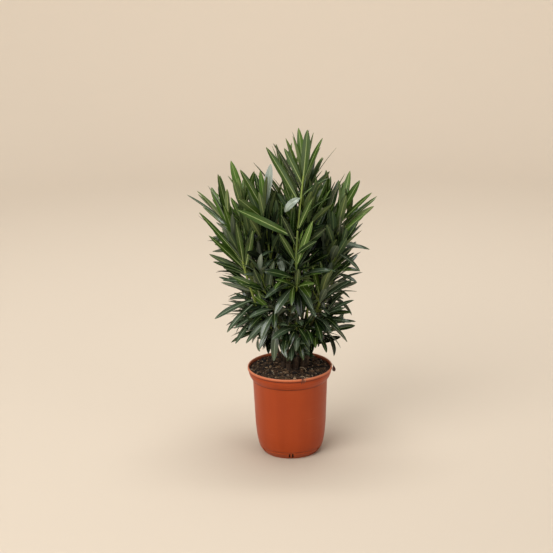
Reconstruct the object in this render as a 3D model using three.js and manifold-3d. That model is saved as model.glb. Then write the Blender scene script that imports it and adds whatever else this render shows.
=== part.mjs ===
// A potted oleander: canes that rise from the soil of a plastic nursery pot, side boughs on the canes, and
// a mass of twigs and leaves on each limb. Millimetres, +Z up, origin at the middle of the pot's flat
// underside. The front of the plant faces -Y.
import * as THREE from "three";
import { mergeVertices } from "three/addons/utils/BufferGeometryUtils.js";
import Module from "manifold-3d";

const wasm = await Module();
wasm.setup();

// The pot. A clear gap keeps touching pieces apart.
const POT_HEIGHT = 221;
const RIM_RADIUS = 105;
const WALL = 1.8;
const FLOOR_THICKNESS = 3;
const ROUND_SIDES = 34;
const DRAINS = { pairs: 6, width: 4, height: 17, apart: 7.6, bottom: -1, reach: 82, depth: 30 };
const CLEAR = 0.35;

// The soil: a level middle where the canes stand, and a slope from it down to the edge
const SOIL_EDGE_HEIGHT = 213;
const SOIL_MIDDLE_HEIGHT = 216;
const SOIL_MIDDLE_RADIUS = 46;

// The limbs
const LIMB_SIDES = 8;
const CANE = { rings: 5, foot: 5.2, tip: 3, flare: 1.35 };
const BOUGH = { rings: 3, foot: 2.8, tip: 2.4 };
const STEM = { rings: 5, foot: 2.7, tip: 2 };
const TWIG = { rings: 3, foot: 2.3, tip: 1.9 };

// Side twigs leave a stem a golden angle apart, at a spread from it in degrees, from its lower part.
const TWIG_SPREAD = 46;
const TWIG_SPREAD_VARIES = 16;
const GOLDEN_ANGLE = Math.PI * (3 - Math.sqrt(5));
const LOWEST_TWIG = 0.06;
const TWIG_STRETCH = 0.5;

// The leaves stand in whorls of three. Lengths are in millimetres, and angles that vary are in degrees.
const LEAF_LENGTH = 140;
const LEAF_WIDTH = 21;
const LEAF_THICKNESS = 1.5;
const KEEL_SHARE = 0.65;
const PETIOLE_HALF_WIDTH = 0.75;
const WIDEST_AT = 0.35;
const BENT_OVER = 30;
const LEAVES_IN_WHORL = 3;
const APEX_INTERNODE = 10;
const LONGEST_INTERNODE = 38;
const INTERNODE_GROWTH = 8;
const LEAF_VARIES = { turn: 26, open: 12, size: 0.2, roll: 34 };

// How far a leaf keeps from the border of its mass's space and from any limb. Leaves may meet at their roots,
// but past this share of their length none crosses another.
const SPACE_MARGIN = 1.6;
const LIMB_MARGIN = 1.4;
const ROOT_SHARE = 0.08;

// A mass's stem runs from where it enters its leaves to its apex. From apex to foot it opens its leaves
// between two angles from its axis, and bends them over between two more, in degrees. The leaf is a share of
// the full length, and young is the youngest leaf's share of that.
const TOP_HABIT = {
  entersAt: 0.4,
  entersHeight: 395,
  twigs: 3,
  open: [11, 54],
  arch: [6, 34],
  leaf: 0.95,
  young: 0.62,
};
const SIDE_HABIT = {
  entersAt: 0.5,
  entersHeight: 288,
  twigs: 3,
  open: [32, 116],
  arch: [18, 78],
  leaf: 0.82,
  young: 0.62,
};

// The top masses each end a cane, which stands on the soil at its foot.
const TOP_MASSES = [
  { name: "centre_tall", foot: [15, -14], apex: [38, -26, 706], open: [6, 60], leaf: 1, young: 0.8 },
  { name: "mid_left", foot: [-3, -22], apex: [-54, -40, 628] },
  { name: "left_upper", foot: [-15, -4], apex: [-104, 4, 622], entersHeight: 425 },
  { name: "right_upper", foot: [33, -10], apex: [124, -30, 614], open: [11, 56], arch: [5, 36] },
  { name: "centre_right", foot: [30, 8], apex: [90, 34, 604], open: [10, 48] },
  { name: "back_centre", foot: [10, 22], apex: [-4, 56, 662] },
  { name: "back_left", foot: [-12, 15], apex: [-80, 88, 590], entersHeight: 425, twigs: 2 },
  { name: "back_right", foot: [29, 27], apex: [76, 104, 580], entersHeight: 425, twigs: 2 },
];

// The side masses each sit on a bough of a cane, which leaves it this far below where the mass's stem begins.
const BOUGH_RISE = 52;
const SIDE_MASSES = [
  {
    name: "left_outer",
    cane: "left_upper",
    apex: [-140, -50, 610],
    entersHeight: 410,
    open: [12, 44],
    arch: [4, 20],
    leaf: 0.95,
  },
  { name: "left_low", cane: "left_upper", apex: [-82, -48, 408], leaf: 0.74 },
  { name: "front_left", cane: "mid_left", apex: [-34, -92, 396] },
  { name: "front_low", cane: "centre_tall", apex: [18, -84, 360], entersHeight: 276, leaf: 0.76 },
  { name: "front", cane: "centre_tall", apex: [20, -100, 494], entersHeight: 394 },
  { name: "front_mid", cane: "mid_left", apex: [-66, -84, 486], entersHeight: 386, twigs: 2 },
  { name: "young_right", cane: "right_upper", apex: [82, -84, 456], entersHeight: 330, open: [14, 84] },
  { name: "right_low", cane: "right_upper", apex: [84, -46, 362], entersHeight: 276, leaf: 0.7 },
  { name: "right_mid", cane: "centre_right", apex: [112, 10, 452], entersHeight: 350, leaf: 0.7 },
  { name: "right_back", cane: "back_right", apex: [96, 66, 430], leaf: 0.74, twigs: 1 },
  { name: "back_low", cane: "back_centre", apex: [0, 112, 440], twigs: 1 },
  { name: "left_back", cane: "left_upper", apex: [-94, 60, 460], twigs: 1 },
];
const CLUMP_CENTRE = [12, 4];
const FIRST_SEED = 1101;

// How far the leaves reach from the crown's middle line, as pairs of a height and a radius. A twig stops short
// of that, to leave room for its own leaves.
const CROWN_MIDDLE = [1, 4];
const CROWN_REACH = [
  [225, 100],
  [265, 134],
  [322, 166],
  [430, 172],
  [490, 186],
  [545, 203],
  [600, 222],
  [660, 226],
  [705, 184],
  [755, 106],
  [840, 54],
];
const TWIG_SHORT_OF_REACH = 55;

const radians = THREE.MathUtils.degToRad;
const mix = THREE.MathUtils.lerp;
const upright = new THREE.Vector3(0, 0, 1);
const level = new THREE.Vector3(1, 0, 0);

// A small seeded generator, so that the same seed always grows the same plant.
function seeded(seed) {
  let state = seed >>> 0;
  return () => {
    state = (state + 0x6d2b79f5) >>> 0;
    let t = Math.imul(state ^ (state >>> 15), state | 1);
    t ^= t + Math.imul(t ^ (t >>> 7), t | 61);
    return ((t ^ (t >>> 14)) >>> 0) / 4294967296;
  };
}

// A number from minus half to plus half of a range.
const around = (range, random) => range * (random() - 0.5);

// A closed body through rings of points, all of one length but for a last ring that may be a single point.
function loft(rings) {
  const sides = rings[0].length;
  const positions = rings.flat().flatMap((p) => p.toArray());
  const faces = [];
  for (let r = 0; r + 1 < rings.length; r++) {
    for (let i = 0; i < sides; i++) {
      const low = r * sides + i;
      const lowNext = r * sides + ((i + 1) % sides);
      if (rings[r + 1].length === 1) {
        faces.push(low, lowNext, (r + 1) * sides);
      } else {
        faces.push(low, lowNext, lowNext + sides, low, lowNext + sides, low + sides);
      }
    }
  }
  const last = (rings.length - 1) * sides;
  for (let i = 1; i + 1 < sides; i++) {
    faces.push(0, i + 1, i);
    if (rings.at(-1).length > 1) faces.push(last, last + i, last + i + 1);
  }
  const geometry = new THREE.BufferGeometry();
  geometry.setAttribute("position", new THREE.Float32BufferAttribute(positions, 3));
  geometry.setIndex(faces);
  return geometry;
}

// A ring of points round a centre, in the plane across a direction.
function ringAcross(centre, direction, radius, sides, towards) {
  const along = direction.clone().normalize();
  const first = towards.clone().addScaledVector(along, -towards.dot(along)).normalize();
  const second = new THREE.Vector3().crossVectors(along, first);
  return Array.from({ length: sides }, (_, i) => {
    const turn = (2 * Math.PI * i) / sides;
    const spoke = first.clone().multiplyScalar(Math.cos(turn)).addScaledVector(second, Math.sin(turn));
    return centre.clone().addScaledVector(spoke, radius);
  });
}

function solidOf(geometry) {
  const bare = geometry.clone();
  bare.deleteAttribute("normal");
  bare.deleteAttribute("uv");
  const merged = mergeVertices(bare, 1e-4);
  const triVerts = new Uint32Array(merged.index.array);
  const vertProperties = new Float32Array(merged.attributes.position.array);
  return new wasm.Manifold(new wasm.Mesh({ numProp: 3, vertProperties, triVerts }));
}

function geometryOf(solid) {
  const mesh = solid.getMesh();
  const geometry = new THREE.BufferGeometry();
  geometry.setAttribute("position", new THREE.BufferAttribute(new Float32Array(mesh.vertProperties), 3));
  geometry.setIndex(new THREE.BufferAttribute(new Uint32Array(mesh.triVerts), 1));
  return geometry;
}

// A lathe about +Z from a profile of [radius, height] pairs.
function turned(profile) {
  const outline = profile.map(([radius, height]) => new THREE.Vector2(radius, height));
  return new THREE.LatheGeometry(outline, ROUND_SIDES).rotateX(Math.PI / 2);
}

// The pot's outer face, from its foot up past the foot step, the wall, the collar and the lip.
const POT_OUTER = [
  [70, 0],
  [79, 13.5],
  [79, 18],
  [81.2, 21],
  [85, 42],
  [88, 74],
  [92.6, 189],
  [95.2, 191.5],
  [99.8, 199],
  [102.2, 206],
  [101.6, 213.5],
  [RIM_RADIUS, 215],
  [RIM_RADIUS, POT_HEIGHT],
];
const POT_INNER = [
  [RIM_RADIUS - 3.2, POT_HEIGHT],
  [101.4 - WALL, 210],
  [99.8 - WALL, 199],
  [92.6 - WALL, 189],
  [88 - WALL, 74],
  [80.2 - WALL, 20],
  [70 - WALL, FLOOR_THICKNESS],
];

function innerRadiusAt(height) {
  const above = POT_INNER.findIndex((_, i) => POT_INNER[i + 1][1] <= height);
  const [highRadius, high] = POT_INNER[above];
  const [lowRadius, low] = POT_INNER[above + 1];
  return mix(lowRadius, highRadius, (height - low) / (high - low));
}

// Pairs of drain slots are cut through the foot of the wall, one pair facing the front.
function potGeometry() {
  const body = solidOf(turned([[0, 0], ...POT_OUTER, ...POT_INNER, [0, FLOOR_THICKNESS]]));
  const slots = Array.from({ length: 2 * DRAINS.pairs }, (_, i) => {
    const azimuth = (2 * Math.PI * Math.floor(i / 2)) / DRAINS.pairs - Math.PI / 2;
    const aside = ((i % 2) - 0.5) * DRAINS.apart;
    const slot = new THREE.BoxGeometry(DRAINS.depth, DRAINS.width, DRAINS.height);
    slot.translate(DRAINS.reach, aside, DRAINS.bottom + DRAINS.height / 2);
    return solidOf(slot.rotateZ(azimuth));
  });
  return geometryOf(slots.reduce((pot, slot) => pot.subtract(slot), body));
}

function soilGeometry() {
  const wall = POT_INNER.filter(([, height]) => height < SOIL_EDGE_HEIGHT).reverse();
  const sides = wall.map(([radius, height]) => [radius - CLEAR, height + CLEAR]);
  const surface = [
    [innerRadiusAt(SOIL_EDGE_HEIGHT) - CLEAR, SOIL_EDGE_HEIGHT],
    [SOIL_MIDDLE_RADIUS, SOIL_MIDDLE_HEIGHT],
    [0, SOIL_MIDDLE_HEIGHT],
  ];
  return turned([[0, FLOOR_THICKNESS + CLEAR], ...sides, ...surface]);
}

// A limb's curve between two points that leaves and arrives in given directions.
function limbCurve(from, leaving, to, arriving) {
  const reach = from.distanceTo(to) / 3;
  const elbow = from.clone().addScaledVector(leaving, reach);
  const wrist = to.clone().addScaledVector(arriving, -reach);
  return new THREE.CubicBezierCurve3(from, elbow, wrist, to);
}

// A limb's radius at a share of its length: a straight taper, with a flare in the first stretch of a cane.
function limbRadius({ foot, tip, rings, flare = 1 }, share) {
  return mix(foot, tip, share) * (1 + (flare - 1) * Math.max(0, 1 - share * rings));
}

// A tapering limb along a curve. Its foot may be cut on a plane of its own. Each ring takes over the turn of
// the last, so the limb isn't twisted.
function limbGeometry(curve, size, sides, footPlane) {
  const rings = [];
  let towards = null;
  for (let i = 0; i <= size.rings; i++) {
    const share = i / size.rings;
    const centre = curve.getPointAt(share);
    const across = i === 0 && footPlane ? footPlane : curve.getTangentAt(share);
    towards ??= Math.abs(across.dot(level)) > 0.9 ? upright : level;
    rings.push(ringAcross(centre, across, limbRadius(size, share), sides, towards));
    towards = rings[i][0].clone().sub(centre);
  }
  return loft(rings);
}

const masses = [
  ...TOP_MASSES.map((row) => ({ ...TOP_HABIT, ...row })),
  ...SIDE_MASSES.map((row) => ({ ...SIDE_HABIT, ...row })),
];

// A stem begins on the way out to its apex from its cane's foot, or from the clump's middle. It bows outwards
// and then turns up.
function stemCurve({ foot = CLUMP_CENTRE, apex, entersAt, entersHeight }) {
  const [footX, footY] = foot;
  const high = new THREE.Vector3(...apex);
  const low = new THREE.Vector3(mix(footX, high.x, entersAt), mix(footY, high.y, entersAt), entersHeight);
  const outwards = new THREE.Vector3(high.x - low.x, high.y - low.y, 0);
  const middle = low.clone().lerp(high, 0.5).addScaledVector(outwards, 0.3);
  return new THREE.QuadraticBezierCurve3(low, middle, high);
}

const stems = new Map(masses.map((mass) => [mass.name, stemCurve(mass)]));

// The last point of a limb lies just short of the stem that it carries.
function limbTo(stem, from, leaving) {
  const arriving = stem.getTangentAt(0);
  return limbCurve(from, leaving, stem.getPointAt(0).addScaledVector(arriving, -CLEAR), arriving);
}

function caneCurve({ name, foot }) {
  const onSoil = new THREE.Vector3(...foot, SOIL_MIDDLE_HEIGHT + CLEAR);
  return limbTo(stems.get(name), onSoil, upright);
}

const canes = new Map(TOP_MASSES.map((mass) => [mass.name, caneCurve(mass)]));

// A side bough starts clear of its cane's bark, faces it with a flat foot, and bends up to its mass's stem.
function sideBough({ name, cane }) {
  const stem = stems.get(name);
  const parent = canes.get(cane);
  const above = stem.getPointAt(0).z - BOUGH_RISE - SOIL_MIDDLE_HEIGHT;
  const at = above / (parent.getPointAt(1).z - SOIL_MIDDLE_HEIGHT);
  const grain = parent.getTangentAt(at);
  const outwards = stem.getPointAt(0).sub(parent.getPointAt(at));
  outwards.addScaledVector(grain, -outwards.dot(grain)).normalize();
  const from = parent.getPointAt(at).addScaledVector(outwards, limbRadius(CANE, at) + CLEAR);
  const leaving = outwards.clone().addScaledVector(grain, 0.8).normalize();
  return { curve: limbTo(stem, from, leaving), footPlane: outwards };
}

const boughs = new Map(SIDE_MASSES.map((mass) => [mass.name, sideBough(mass)]));

// Distances to the stems and limbs decide which space a point lies in.
const stemPaths = new Map([...stems].map(([name, stem]) => [name, stem.getSpacedPoints(8)]));
const limbPaths = [
  ...[...canes.values()].map((curve) => ({ points: curve.getSpacedPoints(10), radius: CANE.foot })),
  ...[...boughs.values()].map(({ curve }) => ({ points: curve.getSpacedPoints(8), radius: BOUGH.foot })),
];

function distanceToPath(p, points) {
  const nearest = new THREE.Vector3();
  const distances = points.slice(1).map((end, i) => {
    new THREE.Line3(points[i], end).closestPointToPoint(p, true, nearest);
    return nearest.distanceTo(p);
  });
  return Math.min(...distances);
}

function withinReach(p, margin) {
  const above = CROWN_REACH.findIndex(([height]) => height > p.z);
  if (above < 1) return false;
  const [low, lowReach] = CROWN_REACH[above - 1];
  const [high, highReach] = CROWN_REACH[above];
  const reach = mix(lowReach, highReach, (p.z - low) / (high - low));
  return Math.hypot(p.x - CROWN_MIDDLE[0], p.y - CROWN_MIDDLE[1]) < reach - margin;
}

// A point is in a mass's space where its stem is nearer than any other, within the crown's reach and clear of
// the limbs, pot and soil.
function inSpace(p, name, thickness) {
  if (!withinReach(p, 0)) return false;
  const border = distanceToPath(p, stemPaths.get(name)) + 2 * (SPACE_MARGIN + thickness);
  for (const [other, points] of stemPaths) {
    if (other !== name && distanceToPath(p, points) < border) return false;
  }
  const margin = LIMB_MARGIN + thickness;
  if (limbPaths.some(({ points, radius }) => distanceToPath(p, points) < radius + margin)) return false;
  const overPot = Math.hypot(p.x, p.y) < RIM_RADIUS + margin;
  return !overPot || p.z > POT_HEIGHT + margin;
}

// The heading of what leaves an axis at an angle and turned about it, and the side of it that faces the axis.
function leaning(grain, open, turn) {
  const [outwards] = ringAcross(new THREE.Vector3(), grain, 1, 1, level);
  outwards.applyAxisAngle(grain, turn);
  return {
    heading: grain.clone().multiplyScalar(Math.cos(open)).addScaledVector(outwards, Math.sin(open)),
    upper: grain.clone().multiplyScalar(Math.sin(open)).addScaledVector(outwards, -Math.cos(open)),
  };
}

// A side twig leaves the stem, turns up beside it, and is shorter or skipped where it would leave the space.
function fittedTwig(mass, root, grain, heading, fullLength) {
  for (const length of [fullLength, 0.75 * fullLength, 0.5 * fullLength]) {
    const elbow = root.clone().addScaledVector(heading, 0.5 * length);
    const apex = root.clone().addScaledVector(heading, 0.6 * length).addScaledVector(grain, 0.4 * length);
    const twig = new THREE.QuadraticBezierCurve3(root, elbow, apex);
    const beyondRoot = twig.getSpacedPoints(5).slice(1);
    const fits = withinReach(apex, TWIG_SHORT_OF_REACH);
    if (fits && beyondRoot.every((p) => inSpace(p, mass.name, TWIG.foot))) return twig;
  }
  return null;
}

function sideTwigs(mass, stem, random) {
  const phase = random() * 2 * Math.PI;
  const twigs = Array.from({ length: mass.twigs }, (_, i) => {
    const share = LOWEST_TWIG + (TWIG_STRETCH * (i + 0.2 * random())) / mass.twigs;
    const spread = radians(TWIG_SPREAD + around(TWIG_SPREAD_VARIES, random));
    const grain = stem.getTangentAt(share);
    const { heading } = leaning(grain, spread, phase + i * GOLDEN_ANGLE);
    return fittedTwig(mass, stem.getPointAt(share), grain, heading, mix(0.72, 0.5, share) * stem.getLength());
  });
  return twigs.filter((twig) => twig !== null);
}

// A leaf's middle line is an arc: it leaves its root at an angle to the axis and bends on over.
function leafPlace({ root, heading, upper, length, bend }, share) {
  const turn = bend * share;
  const along = (Math.sin(turn) / bend) * length;
  const over = ((1 - Math.cos(turn)) / bend) * length;
  return {
    centre: root.clone().addScaledVector(heading, along).addScaledVector(upper, -over),
    normal: upper.clone().multiplyScalar(Math.cos(turn)).addScaledVector(heading, Math.sin(turn)),
  };
}

// Its section is a flat triangle: two edges above the middle line and a keel below it.
function leafSection(leaf, share, halfWidth) {
  const { centre, normal } = leafPlace(leaf, share);
  const top = centre.clone().addScaledVector(normal, (1 - KEEL_SHARE) * LEAF_THICKNESS);
  return [
    top.clone().addScaledVector(leaf.across, -halfWidth),
    top.clone().addScaledVector(leaf.across, halfWidth),
    centre.addScaledVector(normal, -KEEL_SHARE * LEAF_THICKNESS),
  ];
}

// The blade beyond a share of its length. A strongly bent leaf has two sections before its tip, others one.
function leafGeometry(leaf, from) {
  const half = leaf.width / 2;
  const sections = leaf.bend > radians(BENT_OVER)
    ? [leafSection(leaf, WIDEST_AT, half), leafSection(leaf, 2 * WIDEST_AT, 0.84 * half)]
    : [leafSection(leaf, WIDEST_AT + 0.1, half)];
  const root = leafSection(leaf, from, mix(PETIOLE_HALF_WIDTH, half, from / WIDEST_AT));
  return loft([root, ...sections, [leafPlace(leaf, 1).centre]]);
}

function leafInSpace(leaf, name) {
  return [0.2, WIDEST_AT, 0.5, 0.65, 0.8, 0.9, 1].every((share) => {
    const halfWidth = (Math.min(1, share / WIDEST_AT, (1 - share) / 0.4) * leaf.width) / 2;
    return leafSection(leaf, share, halfWidth).every((p) => inSpace(p, name, 0));
  });
}

// What a leaf tries in turn until it fits: a share of its angle from the axis, a turn in degrees and a size.
const TRIES = [
  { lean: 1, turn: 0, size: 1 },
  { lean: 0.85, turn: 20, size: 1 },
  { lean: 0.85, turn: -20, size: 1 },
  { lean: 0.65, turn: 0, size: 0.95 },
  { lean: 0.65, turn: 34, size: 0.9 },
  { lean: 0.65, turn: -34, size: 0.9 },
  { lean: 0.4, turn: 0, size: 0.85 },
  { lean: 0.5, turn: 50, size: 0.75 },
];

function leafAt(axis, node, turn, varied, attempt) {
  const share = Math.max(0, 1 - node.fromApex / axis.getLength());
  const open = radians(node.open * attempt.lean + varied.open);
  const { heading, upper } = leaning(axis.getTangentAt(share), open, radians(turn + attempt.turn));
  upper.applyAxisAngle(heading, radians(varied.roll));
  const length = node.length * attempt.size * varied.size;
  return {
    root: axis.getPointAt(share),
    heading,
    upper,
    across: new THREE.Vector3().crossVectors(heading, upper),
    length,
    width: LEAF_WIDTH * Math.sqrt(length / LEAF_LENGTH),
    bend: radians(node.arch * attempt.lean),
  };
}

// Whorls stand close together at the apex and further apart below it. How far down the habit of its mass a
// whorl stands goes by the stem's length, so a short side twig has leaves like those near the stem's apex.
function whorls(mass, axisLength, stemLength) {
  const found = [];
  const bare = axisLength === stemLength ? 4 : 20;
  let fromApex = 3;
  while (fromApex < axisLength - bare) {
    const down = Math.min(1, fromApex / (0.9 * stemLength));
    found.push({
      fromApex,
      open: mix(...mass.open, down),
      arch: mix(...mass.arch, down),
      length: LEAF_LENGTH * mass.leaf * Math.min(1, mass.young + 0.2 * found.length),
    });
    fromApex += Math.min(LONGEST_INTERNODE, APEX_INTERNODE + INTERNODE_GROWTH * (found.length - 1));
  }
  return found;
}

// Each whorl is turned by half a step from the last. A leaf that fits in none of its tries is skipped.
function leavesAlong(mass, axis, random, blades) {
  const phase = 360 * random();
  const step = 360 / LEAVES_IN_WHORL;
  const found = [];
  whorls(mass, axis.getLength(), stems.get(mass.name).getLength()).forEach((node, k) => {
    for (let i = 0; i < LEAVES_IN_WHORL; i++) {
      const turn = phase + step * (i + (k % 2) / 2) + around(LEAF_VARIES.turn, random);
      const varied = {
        open: around(LEAF_VARIES.open, random),
        size: 1 + around(LEAF_VARIES.size, random),
        roll: around(LEAF_VARIES.roll, random),
      };
      for (const attempt of TRIES) {
        const leaf = leafAt(axis, node, turn, varied, attempt);
        if (!leafInSpace(leaf, mass.name)) continue;
        const blade = solidOf(leafGeometry(leaf, ROOT_SHARE));
        if (blades.some((other) => !blade.intersect(other).isEmpty())) continue;
        blades.push(blade);
        found.push(leaf);
        break;
      }
    }
  });
  return found;
}

// A mass is its stem, its side twigs and all their leaves, joined into one solid.
function foliageGeometry(mass, seed) {
  const random = seeded(seed);
  const stem = stems.get(mass.name);
  const twigs = sideTwigs(mass, stem, random);
  const blades = [];
  const leaves = [stem, ...twigs].flatMap((axis) => leavesAlong(mass, axis, random, blades));
  const pieces = [
    limbGeometry(stem, STEM, 3),
    ...twigs.map((twig) => limbGeometry(twig, TWIG, 3)),
    ...leaves.map((leaf) => leafGeometry(leaf, 0)),
  ];
  return geometryOf(pieces.map(solidOf).reduce((whole, piece) => whole.add(piece)));
}

const looks = {
  pot: new THREE.MeshStandardMaterial({ color: 0xb0501f, roughness: 0.45, metalness: 0 }),
  soil: new THREE.MeshStandardMaterial({ color: 0x2b201a, roughness: 0.95, metalness: 0 }),
  bark: new THREE.MeshStandardMaterial({ color: 0x5c5236, roughness: 0.75, metalness: 0 }),
  foliage: new THREE.MeshStandardMaterial({ color: 0x35491f, roughness: 0.45, metalness: 0 }),
};

const plant = new THREE.Group();

function addPiece(name, geometry, look) {
  const mesh = new THREE.Mesh(geometry, look.clone());
  mesh.name = name;
  plant.add(mesh);
}

addPiece("pot", potGeometry(), looks.pot);
addPiece("soil", soilGeometry(), looks.soil);
for (const [name, curve] of canes) {
  addPiece(`cane_${name}`, limbGeometry(curve, CANE, LIMB_SIDES, upright), looks.bark);
}
for (const [name, { curve, footPlane }] of boughs) {
  addPiece(`bough_${name}`, limbGeometry(curve, BOUGH, LIMB_SIDES, footPlane), looks.bark);
}
masses.forEach((mass, index) => {
  addPiece(`foliage_${mass.name}`, foliageGeometry(mass, FIRST_SEED + index), looks.foliage);
});

export default plant;
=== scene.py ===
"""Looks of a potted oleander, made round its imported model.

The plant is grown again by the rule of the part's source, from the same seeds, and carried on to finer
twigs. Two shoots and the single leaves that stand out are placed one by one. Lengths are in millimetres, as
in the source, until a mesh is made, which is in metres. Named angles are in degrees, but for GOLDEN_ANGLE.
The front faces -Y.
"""
import math
from dataclasses import dataclass, replace
from math import radians

import bpy
import numpy as np
from mathutils import Matrix, Vector
from mathutils.bvhtree import BVHTree


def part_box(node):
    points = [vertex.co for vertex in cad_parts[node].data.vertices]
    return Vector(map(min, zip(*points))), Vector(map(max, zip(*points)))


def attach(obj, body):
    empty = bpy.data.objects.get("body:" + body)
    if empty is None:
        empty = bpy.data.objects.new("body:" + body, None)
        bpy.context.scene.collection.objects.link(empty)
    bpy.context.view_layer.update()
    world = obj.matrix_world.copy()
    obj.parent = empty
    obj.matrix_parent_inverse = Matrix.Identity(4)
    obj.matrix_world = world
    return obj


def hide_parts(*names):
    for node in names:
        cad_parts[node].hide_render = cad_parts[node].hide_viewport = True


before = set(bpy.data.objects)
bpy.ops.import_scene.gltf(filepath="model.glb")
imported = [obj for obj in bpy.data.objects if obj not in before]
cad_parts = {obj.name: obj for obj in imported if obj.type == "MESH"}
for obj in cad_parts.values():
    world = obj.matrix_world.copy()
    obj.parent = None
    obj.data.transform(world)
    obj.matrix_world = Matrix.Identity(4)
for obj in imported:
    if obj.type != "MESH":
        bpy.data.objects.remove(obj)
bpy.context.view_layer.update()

METRES = 0.001
TAU = 2 * math.pi

# The pot, from its foot up past the foot step, the wall, the collar and the lip, then down the inside. Each
# corner of the outline is a radius, a height and the radius of its fillet.
POT_HEIGHT = 221
RIM_RADIUS = 105
WALL = 1.8
FLOOR_THICKNESS = 3
POT_SIDES = 160
POT_SHARP = 40
FOOT_RECESS = [(0, 1.2, 0), (60, 1.2, 1), (61.5, 0, 0.6)]
POT_OUTER = [
    (70, 0, 1.6),
    (78.8, 13.5, 3),
    (79, 18.2, 0.5),
    (81, 20.2, 0.9),
    (85, 42, 60),
    (88, 74, 200),
    (92.6, 189, 1.1),
    (95.2, 191.5, 1.4),
    (99.8, 199, 6),
    (102.2, 206, 5),
    (101.6, 213.6, 0.7),
    (RIM_RADIUS, 215, 0.9),
    (RIM_RADIUS, POT_HEIGHT, 1.5),
]
POT_INNER = [
    (RIM_RADIUS - 3.2, POT_HEIGHT, 1.2),
    (101.4 - WALL, 210, 6),
    (99.8 - WALL, 199, 8),
    (92.6 - WALL, 189, 4),
    (88 - WALL, 74, 100),
    (80.2 - WALL, 20, 20),
    (70 - WALL, FLOOR_THICKNESS, 2),
    (0, FLOOR_THICKNESS, 0),
]
DRAINS = {"pairs": 6, "width": 4, "height": 17, "apart": 7.6, "bottom": -1, "reach": 82, "depth": 30}
CLEAR = 0.35

# The soil
SOIL_EDGE_HEIGHT = 213
SOIL_MIDDLE_HEIGHT = 216
SOIL_MIDDLE_RADIUS = 46

# The limbs
CANE = {"foot": 5.2, "tip": 3, "flare": 1.35, "flares_over": 1 / 5, "sunk": 5, "seed": 300}
BOUGH = {"foot": 2.8, "tip": 2.4, "flare": 1, "flares_over": 1, "sunk": 2, "seed": 400}
STEM_FOOT = 2.7
STEM_TIP = 1.9
TWIG_FOOT = 2.3
TWIG_TIP = 1.6
FINE_TWIG_FOOT = 1.7
FINE_TWIG_TIP = 1.2

# Side twigs
TWIG_SPREAD = 46
TWIG_SPREAD_VARIES = 16
GOLDEN_ANGLE = math.pi * (3 - math.sqrt(5))
LOWEST_TWIG = 0.06
TWIG_STRETCH = 0.5

# Leaves, in whorls of three
LEAF_LENGTH = 140
LEAVES_IN_WHORL = 3
WHORL_STEP = 360 / LEAVES_IN_WHORL
APEX_INTERNODE = 10
LONGEST_INTERNODE = 38
INTERNODE_GROWTH = 8
BARE_APEX = 3
BARE_FOOT_BY_RANK = {0: 4, 1: 20, 2: 8}
LEAF_VARIES = {"turn": 26, "open": 12, "size": 0.2, "roll": 34}
SPACE_MARGIN = 1.6
LIMB_MARGIN = 1.4
ROOT_SHARE = 0.08

TOP_HABIT = {
    "enters_at": 0.4,
    "enters_height": 395,
    "twigs": 3,
    "open": (11, 54),
    "arch": (6, 34),
    "leaf": 0.95,
    "width": 19,
    "young": 0.62,
}
SIDE_HABIT = {
    "enters_at": 0.5,
    "enters_height": 288,
    "twigs": 3,
    "open": (32, 116),
    "arch": (18, 78),
    "leaf": 0.82,
    "width": 22,
    "young": 0.62,
}
TOP_MASSES = [
    {
        "name": "centre_tall",
        "foot": (15, -14),
        "apex": (38, -26, 706),
        "open": (6, 60),
        "leaf": 1,
        "width": 20,
        "young": 0.8,
    },
    {"name": "mid_left", "foot": (-3, -22), "apex": (-54, -40, 628)},
    {"name": "left_upper", "foot": (-15, -4), "apex": (-104, 4, 622), "enters_height": 425},
    {"name": "right_upper", "foot": (33, -10), "apex": (124, -30, 614), "open": (11, 56), "arch": (5, 36)},
    {"name": "centre_right", "foot": (30, 8), "apex": (90, 34, 604), "open": (10, 48)},
    {"name": "back_centre", "foot": (10, 22), "apex": (-4, 56, 662)},
    {"name": "back_left", "foot": (-12, 15), "apex": (-80, 88, 590), "enters_height": 425, "twigs": 2},
    {"name": "back_right", "foot": (29, 27), "apex": (76, 104, 580), "enters_height": 425, "twigs": 2},
]
BOUGH_RISE = 52
SIDE_MASSES = [
    {
        "name": "left_outer",
        "cane": "left_upper",
        "apex": (-140, -50, 610),
        "enters_height": 410,
        "open": (12, 44),
        "arch": (4, 20),
        "leaf": 0.95,
        "width": 18,
    },
    {"name": "left_low", "cane": "left_upper", "apex": (-82, -48, 408), "leaf": 0.74},
    {"name": "front_left", "cane": "mid_left", "apex": (-34, -92, 396)},
    {"name": "front_low", "cane": "centre_tall", "apex": (18, -84, 360), "enters_height": 276, "leaf": 0.76},
    {"name": "front", "cane": "centre_tall", "apex": (20, -100, 494), "enters_height": 394},
    {"name": "front_mid", "cane": "mid_left", "apex": (-66, -84, 486), "enters_height": 386, "twigs": 2},
    {
        "name": "young_right",
        "cane": "right_upper",
        "apex": (82, -84, 456),
        "enters_height": 330,
        "open": (14, 84),
    },
    {"name": "right_low", "cane": "right_upper", "apex": (84, -46, 362), "enters_height": 276, "leaf": 0.7},
    {"name": "right_mid", "cane": "centre_right", "apex": (112, 10, 452), "enters_height": 350, "leaf": 0.7},
    {"name": "right_back", "cane": "back_right", "apex": (96, 66, 430), "leaf": 0.74, "twigs": 1},
    {"name": "back_low", "cane": "back_centre", "apex": (0, 112, 440), "twigs": 1},
    {"name": "left_back", "cane": "left_upper", "apex": (-94, 60, 460), "twigs": 1},
]
MASSES = [{**TOP_HABIT, **row} for row in TOP_MASSES] + [{**SIDE_HABIT, **row} for row in SIDE_MASSES]
CLUMP_CENTRE = (12, 4)
FIRST_SEED = 1101

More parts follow.
